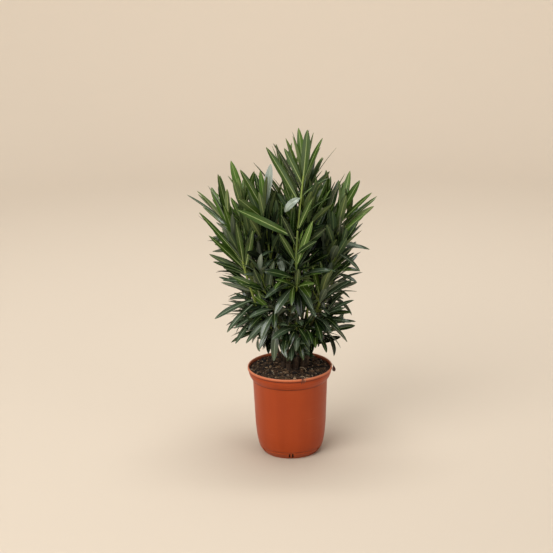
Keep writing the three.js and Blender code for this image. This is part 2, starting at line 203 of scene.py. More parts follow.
# How far the leaves reach from the crown's middle line, by height. Twigs stop short of that.
CROWN_MIDDLE = (1, 4)
REACH_HEIGHTS = [225, 265, 322, 430, 490, 545, 600, 660, 705, 755, 840]
CROWN_REACH = [100, 134, 166, 172, 186, 203, 222, 226, 184, 106, 54]
TWIG_SHORT_OF_REACH = 55

# The shares of its length that a twig tries until it fits
TWIG_TRIES = (1, 0.75, 0.5)

# What a leaf tries in turn until it fits: a share of its angle from the axis, a turn and a size. The leaves
# of finer twigs have some more tries.
TRIES = [
    (1, 0, 1),
    (0.85, 20, 1),
    (0.85, -20, 1),
    (0.65, 0, 0.95),
    (0.65, 34, 0.9),
    (0.65, -34, 0.9),
    (0.4, 0, 0.85),
    (0.5, 50, 0.75),
]
FINE_TRIES = [*TRIES, (0.5, -50, 0.75), (0.25, 0, 0.7), (0.8, 70, 0.6)]

# What the looks add to the rule: finer twigs, shoots on the limbs, small leaves at each apex, and a leaf's
# own fold, sweep and twist. A finer twig and its leaves may come nearer to the border of their space by an
# ease, because each leaf is kept from crossing any other.
FINE_SEEDS = {"rule": 900, "twigs": 1800, "limbs": 2700}
FINE_TWIGS = {"every": 18, "lowest": 0.03, "highest": 0.8, "spread": 50, "spread_varies": 30, "length": 50}
FINE_SHORT_OF_REACH = 72
FINE_LEAF = 0.88
FINE_DOWN = {"root": 0.6, "along": 0.75}
SHOOTS = {"every": 8, "from_height": 262, "spread": 66, "spread_varies": 40, "length": 42}
FINE_EASE = 14
FINE_LEAF_EASE = 55
REACH_MARGIN = 5
BUD_LEAVES = [(0.2, 7), (0.36, 10)]
FOLD = {"bud": 38, "young": 30, "old": 15, "varies": 12}
SWEEP_VARIES = 0.1
LEAF_TWIST_VARIES = 26

# Young shoots that show from the front, by the mass whose single leaves they carry: one from the apex of the
# front mass up to the tallest leaves, and one from the apex of left_low up into the fan at the left. Above
# clear_from, no leaf of a finer twig stands in front of them.
SHOWN_SHOOTS = {
    "centre_tall": {
        "track": [(19, -99, 488), (16, -96, 545), (25, -86, 600), (32, -72, 672), (38, -66, 712)],
        "foot": 2.7,
        "tip": 1.8,
        "pale_from": 580,
        "clear_from": 560,
    },
    "left_outer": {
        "track": [(-81, -48, 402), (-90, -66, 438), (-102, -74, 478), (-108, -76, 512)],
        "foot": 3.4,
        "tip": 2.2,
        "pale_from": 400,
        "clear_from": 405,
    },
}
CLEAR_OF_SHOOT = {"aside": 8, "drop": 4}

# A leaf's outline: a short stalk, then a blade that is widest just short of its middle. The stations are
# shares of its length.
STALK_SHARE = 0.045
STALK_HALF_WIDTH = 0.95
OUTLINE_FOOT_POWER = 0.84
OUTLINE_TIP_POWER = 0.74
STATIONS = [0, 0.045, 0.09, 0.16, 0.26, 0.38, 0.51, 0.64, 0.76, 0.86, 0.93, 0.98]
CROSSING_STATIONS = [ROOT_SHARE, 0.24, 0.42, 0.6, 0.78, 0.9]
BORDER_STATIONS = [0.2, 0.35, 0.5, 0.65, 0.8, 0.9, 0.98]
RIB_HALF_WIDTH = 1.25
KEEL = 1.0
LOST_AT_TIP = {"fold": 0.55, "rib": 0.72, "keel": 0.75}
LEFT_EDGE, LEFT_RIB, RIGHT_EDGE = 0, 2, 5


def mix(low, high, share):
    return low + (high - low) * share


def unit(vector):
    return vector / np.linalg.norm(vector)


def turned_about(vector, axis, angle):
    """A vector turned about a unit axis."""
    across = np.cross(axis, vector)
    along = axis * (axis @ vector)
    return vector * math.cos(angle) + across * math.sin(angle) + along * (1 - math.cos(angle))


UPRIGHT = np.array([0.0, 0.0, 1.0])
LEVEL = np.array([1.0, 0.0, 0.0])


class Draws:
    """The source's seeded generator, so that the same seed grows the same plant."""

    MASK = 0xFFFFFFFF

    def __init__(self, seed):
        self.state = seed & self.MASK

    def next(self):
        self.state = (self.state + 0x6D2B79F5) & self.MASK
        t = ((self.state ^ (self.state >> 15)) * (self.state | 1)) & self.MASK
        t ^= (t + ((t ^ (t >> 7)) * (t | 61))) & self.MASK
        return ((t ^ (t >> 14)) & self.MASK) / 2**32

    def around(self, spread):
        """A number from minus half to plus half of a range."""
        return spread * (self.next() - 0.5)


class Curve:
    """A Bezier curve that is read by shares of its length."""

    STEPS = 200

    def __init__(self, *points):
        self.points = np.array(points, float)
        self.shares = np.linspace(0, 1, self.STEPS + 1)
        track = self.blend(self.points, self.shares)
        steps = np.linalg.norm(np.diff(track, axis=0), axis=1)
        self.track = track
        self.run = np.concatenate([[0], np.cumsum(steps)])
        self.length = self.run[-1]

    @staticmethod
    def blend(points, t):
        order = len(points) - 1
        t = np.atleast_1d(t)[:, None]
        return sum(math.comb(order, k) * t**k * (1 - t) ** (order - k) * p for k, p in enumerate(points))

    def at(self, share):
        return np.array([np.interp(share * self.length, self.run, self.track[:, axis]) for axis in range(3)])

    def tangent(self, share):
        t = np.interp(share * self.length, self.run, self.shares)
        return unit(self.blend(np.diff(self.points, axis=0), t)[0])

    def spaced(self, count):
        return np.array([self.at(i / count) for i in range(count + 1)])


# The limbs' curves, as in the source


def stem_curve(mass):
    foot = mass.get("foot", CLUMP_CENTRE)
    high = np.array(mass["apex"], float)
    level = [mix(foot[i], high[i], mass["enters_at"]) for i in range(2)]
    low = np.array([*level, mass["enters_height"]], float)
    outwards = np.array([high[0] - low[0], high[1] - low[1], 0])
    return Curve(low, (low + high) / 2 + 0.3 * outwards, high)


def limb_to(stem, start, leaving):
    arriving = stem.tangent(0)
    end = stem.at(0) - CLEAR * arriving
    reach = np.linalg.norm(end - start) / 3
    return Curve(start, start + reach * leaving, end - reach * arriving, end)


def limb_radius(size, share):
    flare = 1 + (size["flare"] - 1) * max(0, 1 - share / size["flares_over"])
    return mix(size["foot"], size["tip"], share) * flare


def side_bough(mass):
    stem = stems[mass["name"]]
    parent = canes[mass["cane"]]
    above = stem.at(0)[2] - BOUGH_RISE - SOIL_MIDDLE_HEIGHT
    at = above / (parent.at(1)[2] - SOIL_MIDDLE_HEIGHT)
    grain = parent.tangent(at)
    outwards = stem.at(0) - parent.at(at)
    outwards = unit(outwards - (outwards @ grain) * grain)
    start = parent.at(at) + (limb_radius(CANE, at) + CLEAR) * outwards
    return limb_to(stem, start, unit(outwards + 0.8 * grain))


stems = {mass["name"]: stem_curve(mass) for mass in MASSES}
canes = {}
for mass in TOP_MASSES:
    on_soil = np.array([*mass["foot"], SOIL_MIDDLE_HEIGHT + CLEAR], float)
    canes[mass["name"]] = limb_to(stems[mass["name"]], on_soil, UPRIGHT)
boughs = {mass["name"]: side_bough(mass) for mass in SIDE_MASSES}


class Paths:
    """Several polylines, to which the distances of points are found at once."""

    def __init__(self, tracks):
        self.start = np.concatenate([track[:-1] for track in tracks])
        self.step = np.concatenate([np.diff(track, axis=0) for track in tracks])
        self.square = (self.step**2).sum(1)
        self.first = np.cumsum([0] + [len(track) - 1 for track in tracks[:-1]])

    def distances(self, points):
        """One row per point and one column per polyline."""
        apart = points[:, None] - self.start
        share = np.clip((apart * self.step).sum(2) / self.square, 0, 1)
        away = np.sqrt(((apart - share[..., None] * self.step) ** 2).sum(2))
        return np.minimum.reduceat(away, self.first, axis=1)


order_of = {mass["name"]: i for i, mass in enumerate(MASSES)}
stem_paths = Paths([stems[mass["name"]].spaced(8) for mass in MASSES])
limb_paths = Paths([c.spaced(10) for c in canes.values()] + [c.spaced(8) for c in boughs.values()])
limb_radii = np.array([CANE["foot"]] * len(canes) + [BOUGH["foot"]] * len(boughs))
reaches = {
    name: tuple(np.array(corner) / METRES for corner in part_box(f"foliage_{name}")) for name in order_of
}


def within_reach(points, margin):
    """True if all the points are nearer to the crown's middle line than it reaches, by a margin."""
    away = np.hypot(points[:, 0] - CROWN_MIDDLE[0], points[:, 1] - CROWN_MIDDLE[1])
    heights = points[:, 2]
    inside = (heights >= REACH_HEIGHTS[0]) & (heights < REACH_HEIGHTS[-1])
    return (inside & (away < np.interp(heights, REACH_HEIGHTS, CROWN_REACH) - margin)).all()


def in_space(points, name, thickness, ease=0):
    """True if all the points are in a mass's space and reach, clear of the limbs, pot and soil."""
    low, high = reaches[name]
    if (points < low - REACH_MARGIN).any() or (points > high + REACH_MARGIN).any():
        return False
    if not within_reach(points, 0):
        return False
    away = stem_paths.distances(points)
    own = away[:, order_of[name]].copy()
    away[:, order_of[name]] = np.inf
    if (away.min(1) < own + 2 * (SPACE_MARGIN + thickness - ease)).any():
        return False
    margin = LIMB_MARGIN + thickness
    if (limb_paths.distances(points) < limb_radii + margin).any():
        return False
    over_pot = np.hypot(points[:, 0], points[:, 1]) < RIM_RADIUS + margin
    return not (over_pot & (points[:, 2] < POT_HEIGHT + margin)).any()


def leaning(grain, open_angle, turn):
    """The heading of what leaves an axis at an angle, turned about it, and its side towards the axis."""
    outwards = turned_about(unit(LEVEL - (LEVEL @ grain) * grain), grain, turn)
    heading = grain * math.cos(open_angle) + outwards * math.sin(open_angle)
    upper = grain * math.sin(open_angle) - outwards * math.cos(open_angle)
    return heading, upper


@dataclass
class Axis:
    """A stem or twig, with its radii at foot and tip and its rank: 0 a stem, 1 a twig, 2 a finer twig."""

    curve: Curve
    foot: float
    tip: float
    rank: int
    leaf_ease: float = 0
    root_down: float = 0
    pale_from: float = 600


@dataclass
class Leaf:
    root: np.ndarray
    heading: np.ndarray
    upper: np.ndarray
    across: np.ndarray
    length: float
    width: float
    bend: float
    fold: float = 0
    sweep: float = 0
    twist: float = 0
    tone: str = "olive"


shown_shoots = {
    name: Axis(Curve(*row["track"]), row["foot"], row["tip"], 2, pale_from=row["pale_from"])
    for name, row in SHOWN_SHOOTS.items()
}


def outline(shares):
    """A blade's half width at shares of the leaf's length, as a share of the most."""
    v = np.clip((shares - STALK_SHARE) / (1 - STALK_SHARE), 0, 1)
    widest = OUTLINE_FOOT_POWER / (OUTLINE_FOOT_POWER + OUTLINE_TIP_POWER)
    return (v / widest) ** OUTLINE_FOOT_POWER * ((1 - v) / (1 - widest)) ** OUTLINE_TIP_POWER


def leaf_rings(leaf, shares):
    """Eight points round a leaf at each share of its length.

    The first six cross its top: edge, middle of the half blade, two at the midrib, middle and edge. The last
    two lie under the midrib.
    """
    shares = np.array(shares, float)[:, None]
    turn = leaf.bend * shares
    along = np.sin(turn) / leaf.bend * leaf.length
    over = (1 - np.cos(turn)) / leaf.bend * leaf.length
    aside = leaf.sweep * leaf.length * shares**2
    centre = leaf.root + along * leaf.heading - over * leaf.upper + aside * leaf.across
    normal = np.cos(turn) * leaf.upper + np.sin(turn) * leaf.heading
    twist = leaf.twist * shares
    side = np.cos(twist) * leaf.across + np.sin(twist) * normal
    top = np.cos(twist) * normal - np.sin(twist) * leaf.across
    half = np.maximum(outline(shares) * leaf.width / 2, STALK_HALF_WIDTH * (1 - shares))
    fold = leaf.fold * (1 - LOST_AT_TIP["fold"] * shares)
    out, up = half * np.cos(fold), half * np.sin(fold)
    size = math.sqrt(leaf.length / LEAF_LENGTH)
    rib = np.minimum(RIB_HALF_WIDTH * size * (1 - LOST_AT_TIP["rib"] * shares), 0.45 * half)
    keel = np.minimum(KEEL * size * (1 - LOST_AT_TIP["keel"] * shares), 0.9 * half)
    half_ring = [(out, up - 0.05 * half), (0.55 * out, 0.55 * up + 0.05 * half), (rib, 0.12 * rib)]
    ring = [(-s, t) for s, t in half_ring] + half_ring[::-1] + [(1.25 * rib, -keel), (-1.25 * rib, -keel)]
    return np.stack([centre + s * side + t * top for s, t in ring], axis=1)


def leaf_at(axis, node, turn, varied, attempt):
    """A leaf of a whorl, turned about its axis and varied, as one of the tries has it."""
    lean, turn_more, size = attempt
    share = max(0, 1 - node["from_apex"] / axis.curve.length)
    open_angle = radians(node["open"] * lean + varied["open"])
    heading, upper = leaning(axis.curve.tangent(share), open_angle, radians(turn + turn_more))
    upper = turned_about(upper, heading, radians(varied["roll"]))
    length = node["length"] * size * varied["size"]
    return Leaf(
        root=axis.curve.at(share),
        heading=heading,
        upper=upper,
        across=np.cross(heading, upper),
        length=length,
        width=node["width"] * (length / LEAF_LENGTH) ** 0.6,
        bend=radians(node["arch"] * lean),
    )


# Single leaves that stand out, by mass: a point near the root, the tip, the width, the bend, the way that
# the top faces and the tone. The root goes to the nearest point on the stem, side twigs or shoot shown.
# Of the tones here, pale is painted sheen, grey is partly painted sheen and dark is painted shade.
SINGLE_LEAVES = {
    "centre_tall": [
        ((38, -66, 700), (49, -30, 814), 22, 8, (0.3, -1, 0.1), "olive"),
        ((38, -66, 685), (85, -16, 792), 17, 14, (-0.75, -0.6, 0.4), "olive"),
        ((44, 0, 649), (119, 10, 764), 16, 16, (-0.8, 0.15, 0.6), "olive"),
        ((28, -78, 645), (-48, -60, 780), 21, 8, (0.6, -0.8, 0.3), "olive"),
        ((30, -20, 652), (-32, 2, 778), 19, 8, (0.8, -0.4, 0.3), "deep"),
        ((38, -66, 690), (-6, -55, 776), 16, 6, (0.4, -0.9, 0.2), "olive"),
        ((28, -60, 660), (-7, -92, 632), 19, 80, (-0.3, -0.75, 0.5), "pale"),
        ((26, -84, 600), (103, -70, 662), 9, 40, (-0.5, -0.3, 0.8), "deep"),
        ((18, -93, 568), (-116, -96, 640), 21, 14, (-0.2, -0.75, 0.6), "olive"),
        ((19, -97, 500), (58, -106, 614), 18, 8, (-0.4, -0.9, 0.2), "fresh"),
        ((30, -74, 662), (94, -80, 708), 10, 34, (-0.4, -0.5, 0.8), "deep"),
        ((22, -88, 585), (58, -104, 666), 14, 12, (-0.4, -0.8, 0.4), "olive"),
        ((18, -95, 545), (-16, -122, 634), 15, 14, (0.3, -0.8, 0.4), "deep"),
        ((17, -96, 530), (66, -132, 572), 15, 24, (-0.3, -0.8, 0.5), "deep"),
        ((19, -98, 510), (-20, -128, 590), 15, 14, (0.3, -0.8, 0.4), "olive"),
    ],
    "centre_right": [
        ((60, 0, 560), (112, -30, 640), 16, 14, (-0.5, -0.8, 0.3), "olive"),
        ((107, 30, 619), (98, 30, 701), 15, 5, (-0.5, -0.8, 0.2), "olive"),
    ],
    "mid_left": [
        ((-50, -38, 600), (-115, -80, 664), 22, 22, (-0.3, -0.8, 0.5), "olive"),
        ((-54, -30, 640), (-38, -16, 732), 22, 6, (-0.3, -0.9, 0.2), "pale"),
        ((-20, -46, 520), (-12, -100, 486), 18, 40, (0, -0.8, 0.5), "pale"),
        ((-27, -34, 520), (-62, -82, 524), 15, 50, (-0.2, -0.5, 0.8), "grey"),
        ((-25, -34, 500), (-55, -88, 493), 15, 50, (-0.2, -0.5, 0.8), "grey"),
        ((-30, -36, 540), (-44, -88, 556), 14, 30, (0, -0.8, 0.5), "deep"),
        ((-61, -45, 617), (-110, -50, 726), 20, 8, (0.6, -0.75, 0.2), "olive"),
        ((-54, -40, 628), (-63, -45, 722), 15, 5, (0.3, -1, 0.1), "young"),
    ],
    "left_upper": [
        ((-60, 0, 470), (-72, -58, 556), 14, 30, (0.1, -0.9, 0.4), "pale"),
        ((-58, 0, 455), (-92, -60, 508), 13, 30, (0, -0.8, 0.5), "pale"),
        ((-104, 4, 622), (-133, 0, 738), 20, 5, (0.3, -1, 0.1), "young"),
        ((-104, 4, 622), (-78, 0, 712), 16, 6, (0.2, -0.95, 0.2), "olive"),
    ],
    "left_outer": [
        ((-142, -50, 586), (-236, -58, 670), 14, 14, (0.5, -0.25, 0.8), "grey"),
        ((-107, -76, 508), (-208, -66, 629), 16, 8, (0.6, -0.6, 0.5), "olive"),
        ((-105, -75, 490), (-186, -80, 576), 16, 8, (0.6, -0.6, 0.5), "olive"),
        ((-103, -75, 480), (-178, -80, 512), 15, 12, (0.3, -0.5, 0.8), "deep"),
        ((-96, -70, 455), (-156, -84, 467), 15, 25, (0.1, -0.5, 0.9), "grey"),
        ((-106, -76, 500), (-121, -84, 607), 16, 8, (0.3, -0.85, 0.3), "olive"),
        ((-104, -75, 488), (-82, -86, 588), 15, 10, (0, -0.9, 0.4), "olive"),
        ((-84, -60, 418), (-50, -86, 398), 14, 30, (0, -0.6, 0.7), "fresh"),
        ((-90, -66, 436), (-56, -90, 424), 13, 30, (0, -0.6, 0.7), "fresh"),
        ((-129, -50, 600), (-162, -50, 716), 18, 6, (0.6, -0.8, 0.3), "olive"),
        ((-115, -48, 519), (-150, -62, 644), 18, 6, (0.5, -0.8, 0.3), "fresh"),
    ],
    "left_low": [
        ((-100, -58, 420), (-179, -75, 368), 18, 30, (-0.4, -0.6, 0.7), "grey"),
        ((-70, -60, 368), (-130, -85, 308), 18, 25, (-0.5, -0.6, 0.6), "grey"),
        ((-66, -42, 370), (-132, -84, 346), 13, 30, (-0.2, -0.6, 0.8), "grey"),
        ((-82, -48, 400), (-150, -80, 335), 17, 30, (-0.4, -0.6, 0.7), "grey"),
    ],
    "front_left": [
        ((-20, -92, 360), (-38, -112, 273), 20, 20, (-0.2, -0.95, 0.3), "grey"),
        ((-34, -92, 396), (-95, -122, 385), 18, 45, (0, -0.4, 0.9), "grey"),
        ((-34, -92, 390), (-68, -130, 332), 19, 45, (-0.3, -0.6, 0.7), "grey"),
        ((-34, -92, 392), (-35, -128, 360), 15, 40, (0, -0.7, 0.6), "deep"),
        ((-50, -80, 355), (-73, -112, 301), 12, 30, (-0.3, -0.8, 0.5), "grey"),
        ((-34, -92, 380), (-104, -112, 318), 18, 30, (-0.4, -0.6, 0.7), "grey"),
    ],
    "front": [
        ((15, -88, 464), (-56, -134, 436), 21, 55, (-0.1, -0.4, 0.9), "grey"),
        ((15, -88, 456), (-34, -138, 398), 23, 40, (-0.4, -0.7, 0.6), "grey"),
        ((17, -88, 452), (55, -134, 408), 18, 40, (0.3, -0.7, 0.6), "grey"),
        ((17, -88, 462), (50, -146, 440), 24, 45, (0.3, -0.6, 0.7), "olive"),
        ((15, -88, 470), (-62, -120, 499), 22, 30, (-0.3, -0.6, 0.7), "deep"),
        ((17, -88, 470), (111, -108, 492), 19, 60, (0.1, -0.4, 0.9), "grey"),
        ((16, -86, 440), (37, -128, 404), 17, 30, (0.2, -0.8, 0.5), "deep"),
    ],
    "front_low": [
        ((16, -60, 352), (-42, -122, 330), 22, 60, (-0.3, -0.6, 0.7), "grey"),
        ((18, -80, 350), (-9, -114, 298), 17, 40, (-0.2, -0.8, 0.5), "deep"),
        ((18, -70, 340), (15, -112, 296), 16, 40, (0.1, -0.8, 0.5), "grey"),
        ((18, -80, 352), (48, -114, 308), 17, 40, (0.3, -0.7, 0.6), "deep"),
        ((18, -84, 360), (30, -128, 366), 19, 70, (0.1, -0.4, 0.9), "grey"),
        ((16, -50, 306), (34, -72, 262), 13, 35, (0.2, -0.9, 0.3), "deep"),
        ((16, -50, 300), (-6, -74, 258), 14, 35, (-0.2, -0.9, 0.3), "deep"),
        ((16, -60, 330), (-22, -92, 284), 15, 40, (-0.2, -0.8, 0.5), "grey"),
        ((17, -62, 326), (48, -94, 288), 15, 40, (0.2, -0.8, 0.5), "deep"),
    ],
    "young_right": [
        ((60, -60, 366), (100, -100, 337), 18, 45, (0.3, -0.6, 0.7), "grey"),
        ((58, -60, 360), (77, -104, 316), 16, 40, (0.2, -0.8, 0.5), "deep"),
        ((80, -86, 410), (56, -94, 503), 15, 6, (0.5, -0.8, 0.3), "fresh"),
    ],
    "right_low": [
        ((89, -40, 317), (108, -40, 257), 13, 75, (0.6, -0.7, 0.3), "dark"),
        ((92, -46, 350), (140, -55, 298), 16, 35, (0.6, -0.4, 0.7), "grey"),
        ((84, -46, 362), (156, -66, 408), 16, 30, (0, -0.4, 0.9), "grey"),
        ((84, -46, 362), (150, -70, 378), 16, 35, (0.2, -0.5, 0.85), "deep"),
        ((84, -46, 350), (148, -60, 350), 16, 40, (0.3, -0.5, 0.8), "grey"),
        ((84, -46, 362), (137, -52, 430), 9, 30, (-0.2, -0.5, 0.8), "grey"),
        ((84, -46, 362), (134, -82, 394), 13, 30, (0, -0.6, 0.8), "grey"),
        ((84, -46, 360), (122, -88, 338), 14, 45, (0.2, -0.6, 0.8), "deep"),
    ],
    "right_upper": [
        ((134, -30, 582), (200, -30, 662), 16, 10, (-0.7, -0.5, 0.5), "olive"),
        ((126, -35, 605), (171, -40, 694), 21, 8, (-0.6, -0.75, 0.3), "olive"),
        ((125, -30, 545), (187, -40, 617), 16, 10, (-0.6, -0.6, 0.4), "fresh"),
        ((110, -25, 528), (196, -20, 520), 16, 45, (0.1, -0.4, 0.9), "grey"),
        ((108, -30, 518), (171, -56, 475), 14, 50, (0.2, -0.4, 0.9), "grey"),
        ((112, -30, 540), (180, -50, 530), 15, 40, (0.1, -0.4, 0.9), "pale"),
        ((136, -30, 591), (153, -30, 673), 15, 6, (-0.4, -0.9, 0.2), "olive"),
        ((131, -35, 568), (133, -45, 658), 14, 6, (-0.2, -0.95, 0.2), "deep"),
    ],
    "front_mid": [
        ((-66, -84, 486), (-62, -118, 540), 14, 30, (-0.2, -0.8, 0.5), "pale"),
        ((-66, -84, 470), (-104, -112, 488), 14, 50, (-0.2, -0.6, 0.8), "grey"),
    ],
    "right_mid": [
        ((112, 10, 452), (172, 0, 461), 17, 70, (0.3, -0.4, 0.9), "grey"),
        ((112, 10, 452), (165, -30, 440), 15, 40, (0.2, -0.4, 0.9), "grey"),
        ((98, -4, 410), (146, -58, 410), 10, 60, (0.2, -0.4, 0.9), "grey"),
        ((104, 4, 430), (152, -42, 444), 9, 40, (0.1, -0.4, 0.9), "pale"),
    ],
}


class Crown:
    """All the leaves so far, by mass, and for each a thin sheet that no other leaf may cross."""

    ROOM = 9000

    def __init__(self):
        self.leaves = {name: [] for name in order_of}
        self.sheets = []
        self.low = np.empty((self.ROOM, 3))
        self.high = np.empty((self.ROOM, 3))
        last = (len(CROSSING_STATIONS) - 1) * 3
        strips = [(r + i, r + i + 1, r + i + 4, r + i + 3) for r in range(0, last, 3) for i in (0, 1)]
        self.faces = strips + [(last, last + 1, last + 3), (last + 1, last + 2, last + 3)]

    def take(self, leaf, name):
        """Adds a leaf to a mass unless it crosses another, and says whether it did."""
        rings = leaf_rings(leaf, CROSSING_STATIONS)[:, [LEFT_EDGE, LEFT_RIB, RIGHT_EDGE]]
        tip = leaf_rings(leaf, [1])[:, LEFT_RIB]
        points = np.concatenate([rings.reshape(-1, 3), tip])
        low, high = points.min(0), points.max(0)
        count = len(self.sheets)
        near = ((self.low[:count] < high) & (self.high[:count] > low)).all(1)
        sheet = BVHTree.FromPolygons(points.tolist(), self.faces)
        if any(sheet.overlap(self.sheets[i]) for i in np.flatnonzero(near)):
            return False
        self.low[count], self.high[count] = low, high
        self.sheets.append(sheet)
        self.leaves[name].append(leaf)
        return True


def single_leaf(near_root, tip, width, bend, faces, tone, axes):
    """A leaf from the nearest point on some axes to its tip."""
    tracks = np.concatenate([axis.curve.track for axis in axes])
    root = tracks[np.linalg.norm(tracks - near_root, axis=1).argmin()]
    chord = np.array(tip) - root
    reach = np.linalg.norm(chord)
    ahead = chord / reach
    faces = unit(np.array(faces) - (np.array(faces) @ ahead) * ahead)
    half_bend = radians(bend) / 2
    heading = math.cos(half_bend) * ahead + math.sin(half_bend) * faces
    upper = math.cos(half_bend) * faces - math.sin(half_bend) * ahead
    length = reach * half_bend / math.sin(half_bend)
    across, fold = np.cross(heading, upper), radians(FOLD["old"])
    return Leaf(root, heading, upper, across, length, width, 2 * half_bend, fold, tone=tone)


def fits(leaf, name, ease):
    points = leaf_rings(leaf, BORDER_STATIONS)[:, [LEFT_EDGE, RIGHT_EDGE, -1]].reshape(-1, 3)
    if ease and hides_shoot(points):
        return False
    return in_space(points, name, 0, ease)


def hides_shoot(points):
    """True if a leaf would stand in front of a shoot that shows."""
    across, deep, heights = points.T
    for name, shoot in shown_shoots.items():
        track = shoot.curve.track
        lower = heights - CLEAR_OF_SHOOT["drop"]
        x, y = [np.interp(lower, track[:, 2], track[:, axis]) for axis in range(2)]
        in_front = (deep < y) & (heights > SHOWN_SHOOTS[name]["clear_from"]) & (heights < track[-1, 2])
        if (in_front & (abs(across - x) < CLEAR_OF_SHOOT["aside"])).any():
            return True
    return False


def twig_curve(root, grain, heading, length):
    """A twig that sets out along a heading and bends towards the grain of what it leaves."""
    elbow = root + 0.5 * length * heading
    return Curve(root, elbow, root + 0.6 * length * heading + 0.4 * length * grain)


def fitted_twig(mass, root, grain, heading, full_length, foot, short_of_reach, ease=0):
    for share in TWIG_TRIES:
        twig = twig_curve(root, grain, heading, share * full_length)
        fits_reach = within_reach(twig.points[-1:], short_of_reach)
        if fits_reach and in_space(twig.spaced(5)[1:], mass["name"], foot, ease):
            return twig
    return None


def side_twigs(mass, stem, draws):
    phase = draws.next() * TAU
    twigs = []
    for i in range(mass["twigs"]):
        share = LOWEST_TWIG + TWIG_STRETCH * (i + 0.2 * draws.next()) / mass["twigs"]
        spread = radians(TWIG_SPREAD + draws.around(TWIG_SPREAD_VARIES))
        grain = stem.tangent(share)
        heading, _ = leaning(grain, spread, phase + i * GOLDEN_ANGLE)
        length = mix(0.72, 0.5, share) * stem.length
        twig = fitted_twig(mass, stem.at(share), grain, heading, length, TWIG_FOOT, TWIG_SHORT_OF_REACH)
        if twig:
            twigs.append(Axis(twig, TWIG_FOOT, TWIG_TIP, 1))
    return twigs


def fine_twigs(mass, parents, draws):
    """Finer twigs on the stem and side twigs, a golden angle apart."""
    habit = FINE_TWIGS
    found = []
    for parent in parents:
        phase = draws.next() * TAU
        count = int(parent.curve.length * (habit["highest"] - habit["lowest"]) / habit["every"])
        for i in range(count):
            share = mix(habit["lowest"], habit["highest"], (i + draws.next()) / count)
            spread = radians(habit["spread"] + draws.around(habit["spread_varies"]))
            length = habit["length"] * (1 + draws.around(0.5))
            grain = parent.curve.tangent(share)
            heading, _ = leaning(grain, spread, phase + i * GOLDEN_ANGLE)
            limits = (FINE_TWIG_FOOT, FINE_SHORT_OF_REACH, FINE_EASE)
            twig = fitted_twig(mass, parent.curve.at(share), grain, heading, length, *limits)
            if twig:
                found.append(Axis(twig, FINE_TWIG_FOOT, FINE_TWIG_TIP, 2, FINE_LEAF_EASE, 1 - share))
    return found


def limb_shoots(curve, draws):
    """Leafy shoots on a cane or bough inside the crown, each with the mass in whose space its apex is."""
    habit = SHOOTS
    phase = draws.next() * TAU
    count = int(curve.length / habit["every"])
    found = []
    for i in range(count):
        share = (i + draws.next()) / count
        root = curve.at(share)
        spread = radians(habit["spread"] + draws.around(habit["spread_varies"]))
        length = habit["length"] * (1 + draws.around(0.6))
        if root[2] < habit["from_height"]:
            continue
        grain = curve.tangent(share)
        heading, _ = leaning(grain, spread, phase + i * GOLDEN_ANGLE)
        twig = twig_curve(root, grain, heading, length)
        mass = MASSES[int(stem_paths.distances(twig.at(1)[None]).argmin())]
        if in_space(twig.spaced(5)[2:], mass["name"], FINE_TWIG_FOOT, FINE_LEAF_EASE):
            found.append((mass, Axis(twig, FINE_TWIG_FOOT, FINE_TWIG_TIP, 2, FINE_LEAF_EASE, 0.5)))
    return found


def whorls(mass, axis, stem_length):
    """Where the whorls of an axis stand, from its apex down, and how their leaves grow."""
    found = []
    from_apex = BARE_APEX
    while from_apex < axis.curve.length - BARE_FOOT_BY_RANK[axis.rank]:
        down = min(1, from_apex / (0.9 * stem_length))
        if axis.rank == 2:
            at_root = FINE_DOWN["root"] * axis.root_down
            down = min(1, at_root + FINE_DOWN["along"] * from_apex / axis.curve.length)
        found.append({
            "from_apex": from_apex,
            "down": down,
            "open": mix(*mass["open"], down),
            "arch": mix(*mass["arch"], down),
            "length": LEAF_LENGTH * mass["leaf"] * min(1, mass["young"] + 0.2 * len(found)),
            "width": mass["width"],
        })
        from_apex += min(LONGEST_INTERNODE, APEX_INTERNODE + INTERNODE_GROWTH * (len(found) - 1))
    return found


def leaves_along(mass, axis, draws, fine, crown, shoot=None):
    """Grows the leaves of one axis. What the rule draws comes from draws, and the looks draw from fine."""
    phase = 360 * draws.next()
    size = FINE_LEAF if axis.rank == 2 else 1
    for k, node in enumerate(whorls(mass, axis, stems[mass["name"]].length)):
        node["length"] *= size
        share = max(0, 1 - node["from_apex"] / axis.curve.length)
        tone = tone_of(shoot, k, axis.curve.at(share), fine)
        fold = mix(FOLD["young"], FOLD["old"], node["down"])
        for i in range(LEAVES_IN_WHORL):
            turn = phase + WHORL_STEP * (i + (k % 2) / 2) + draws.around(LEAF_VARIES["turn"])
            varied = {
                "open": draws.around(LEAF_VARIES["open"]),
                "size": 1 + draws.around(LEAF_VARIES["size"]),
                "roll": draws.around(LEAF_VARIES["roll"]),
            }
            traits = {
                "fold": radians(fold + fine.around(FOLD["varies"])),
                "sweep": fine.around(SWEEP_VARIES),
                "twist": radians(fine.around(LEAF_TWIST_VARIES)),
                "tone": tone,
            }
            for attempt in FINE_TRIES if axis.rank == 2 else TRIES:
                leaf = replace(leaf_at(axis, node, turn, varied, attempt), **traits)
                if fits(leaf, mass["name"], axis.leaf_ease) and crown.take(leaf, mass["name"]):
                    break


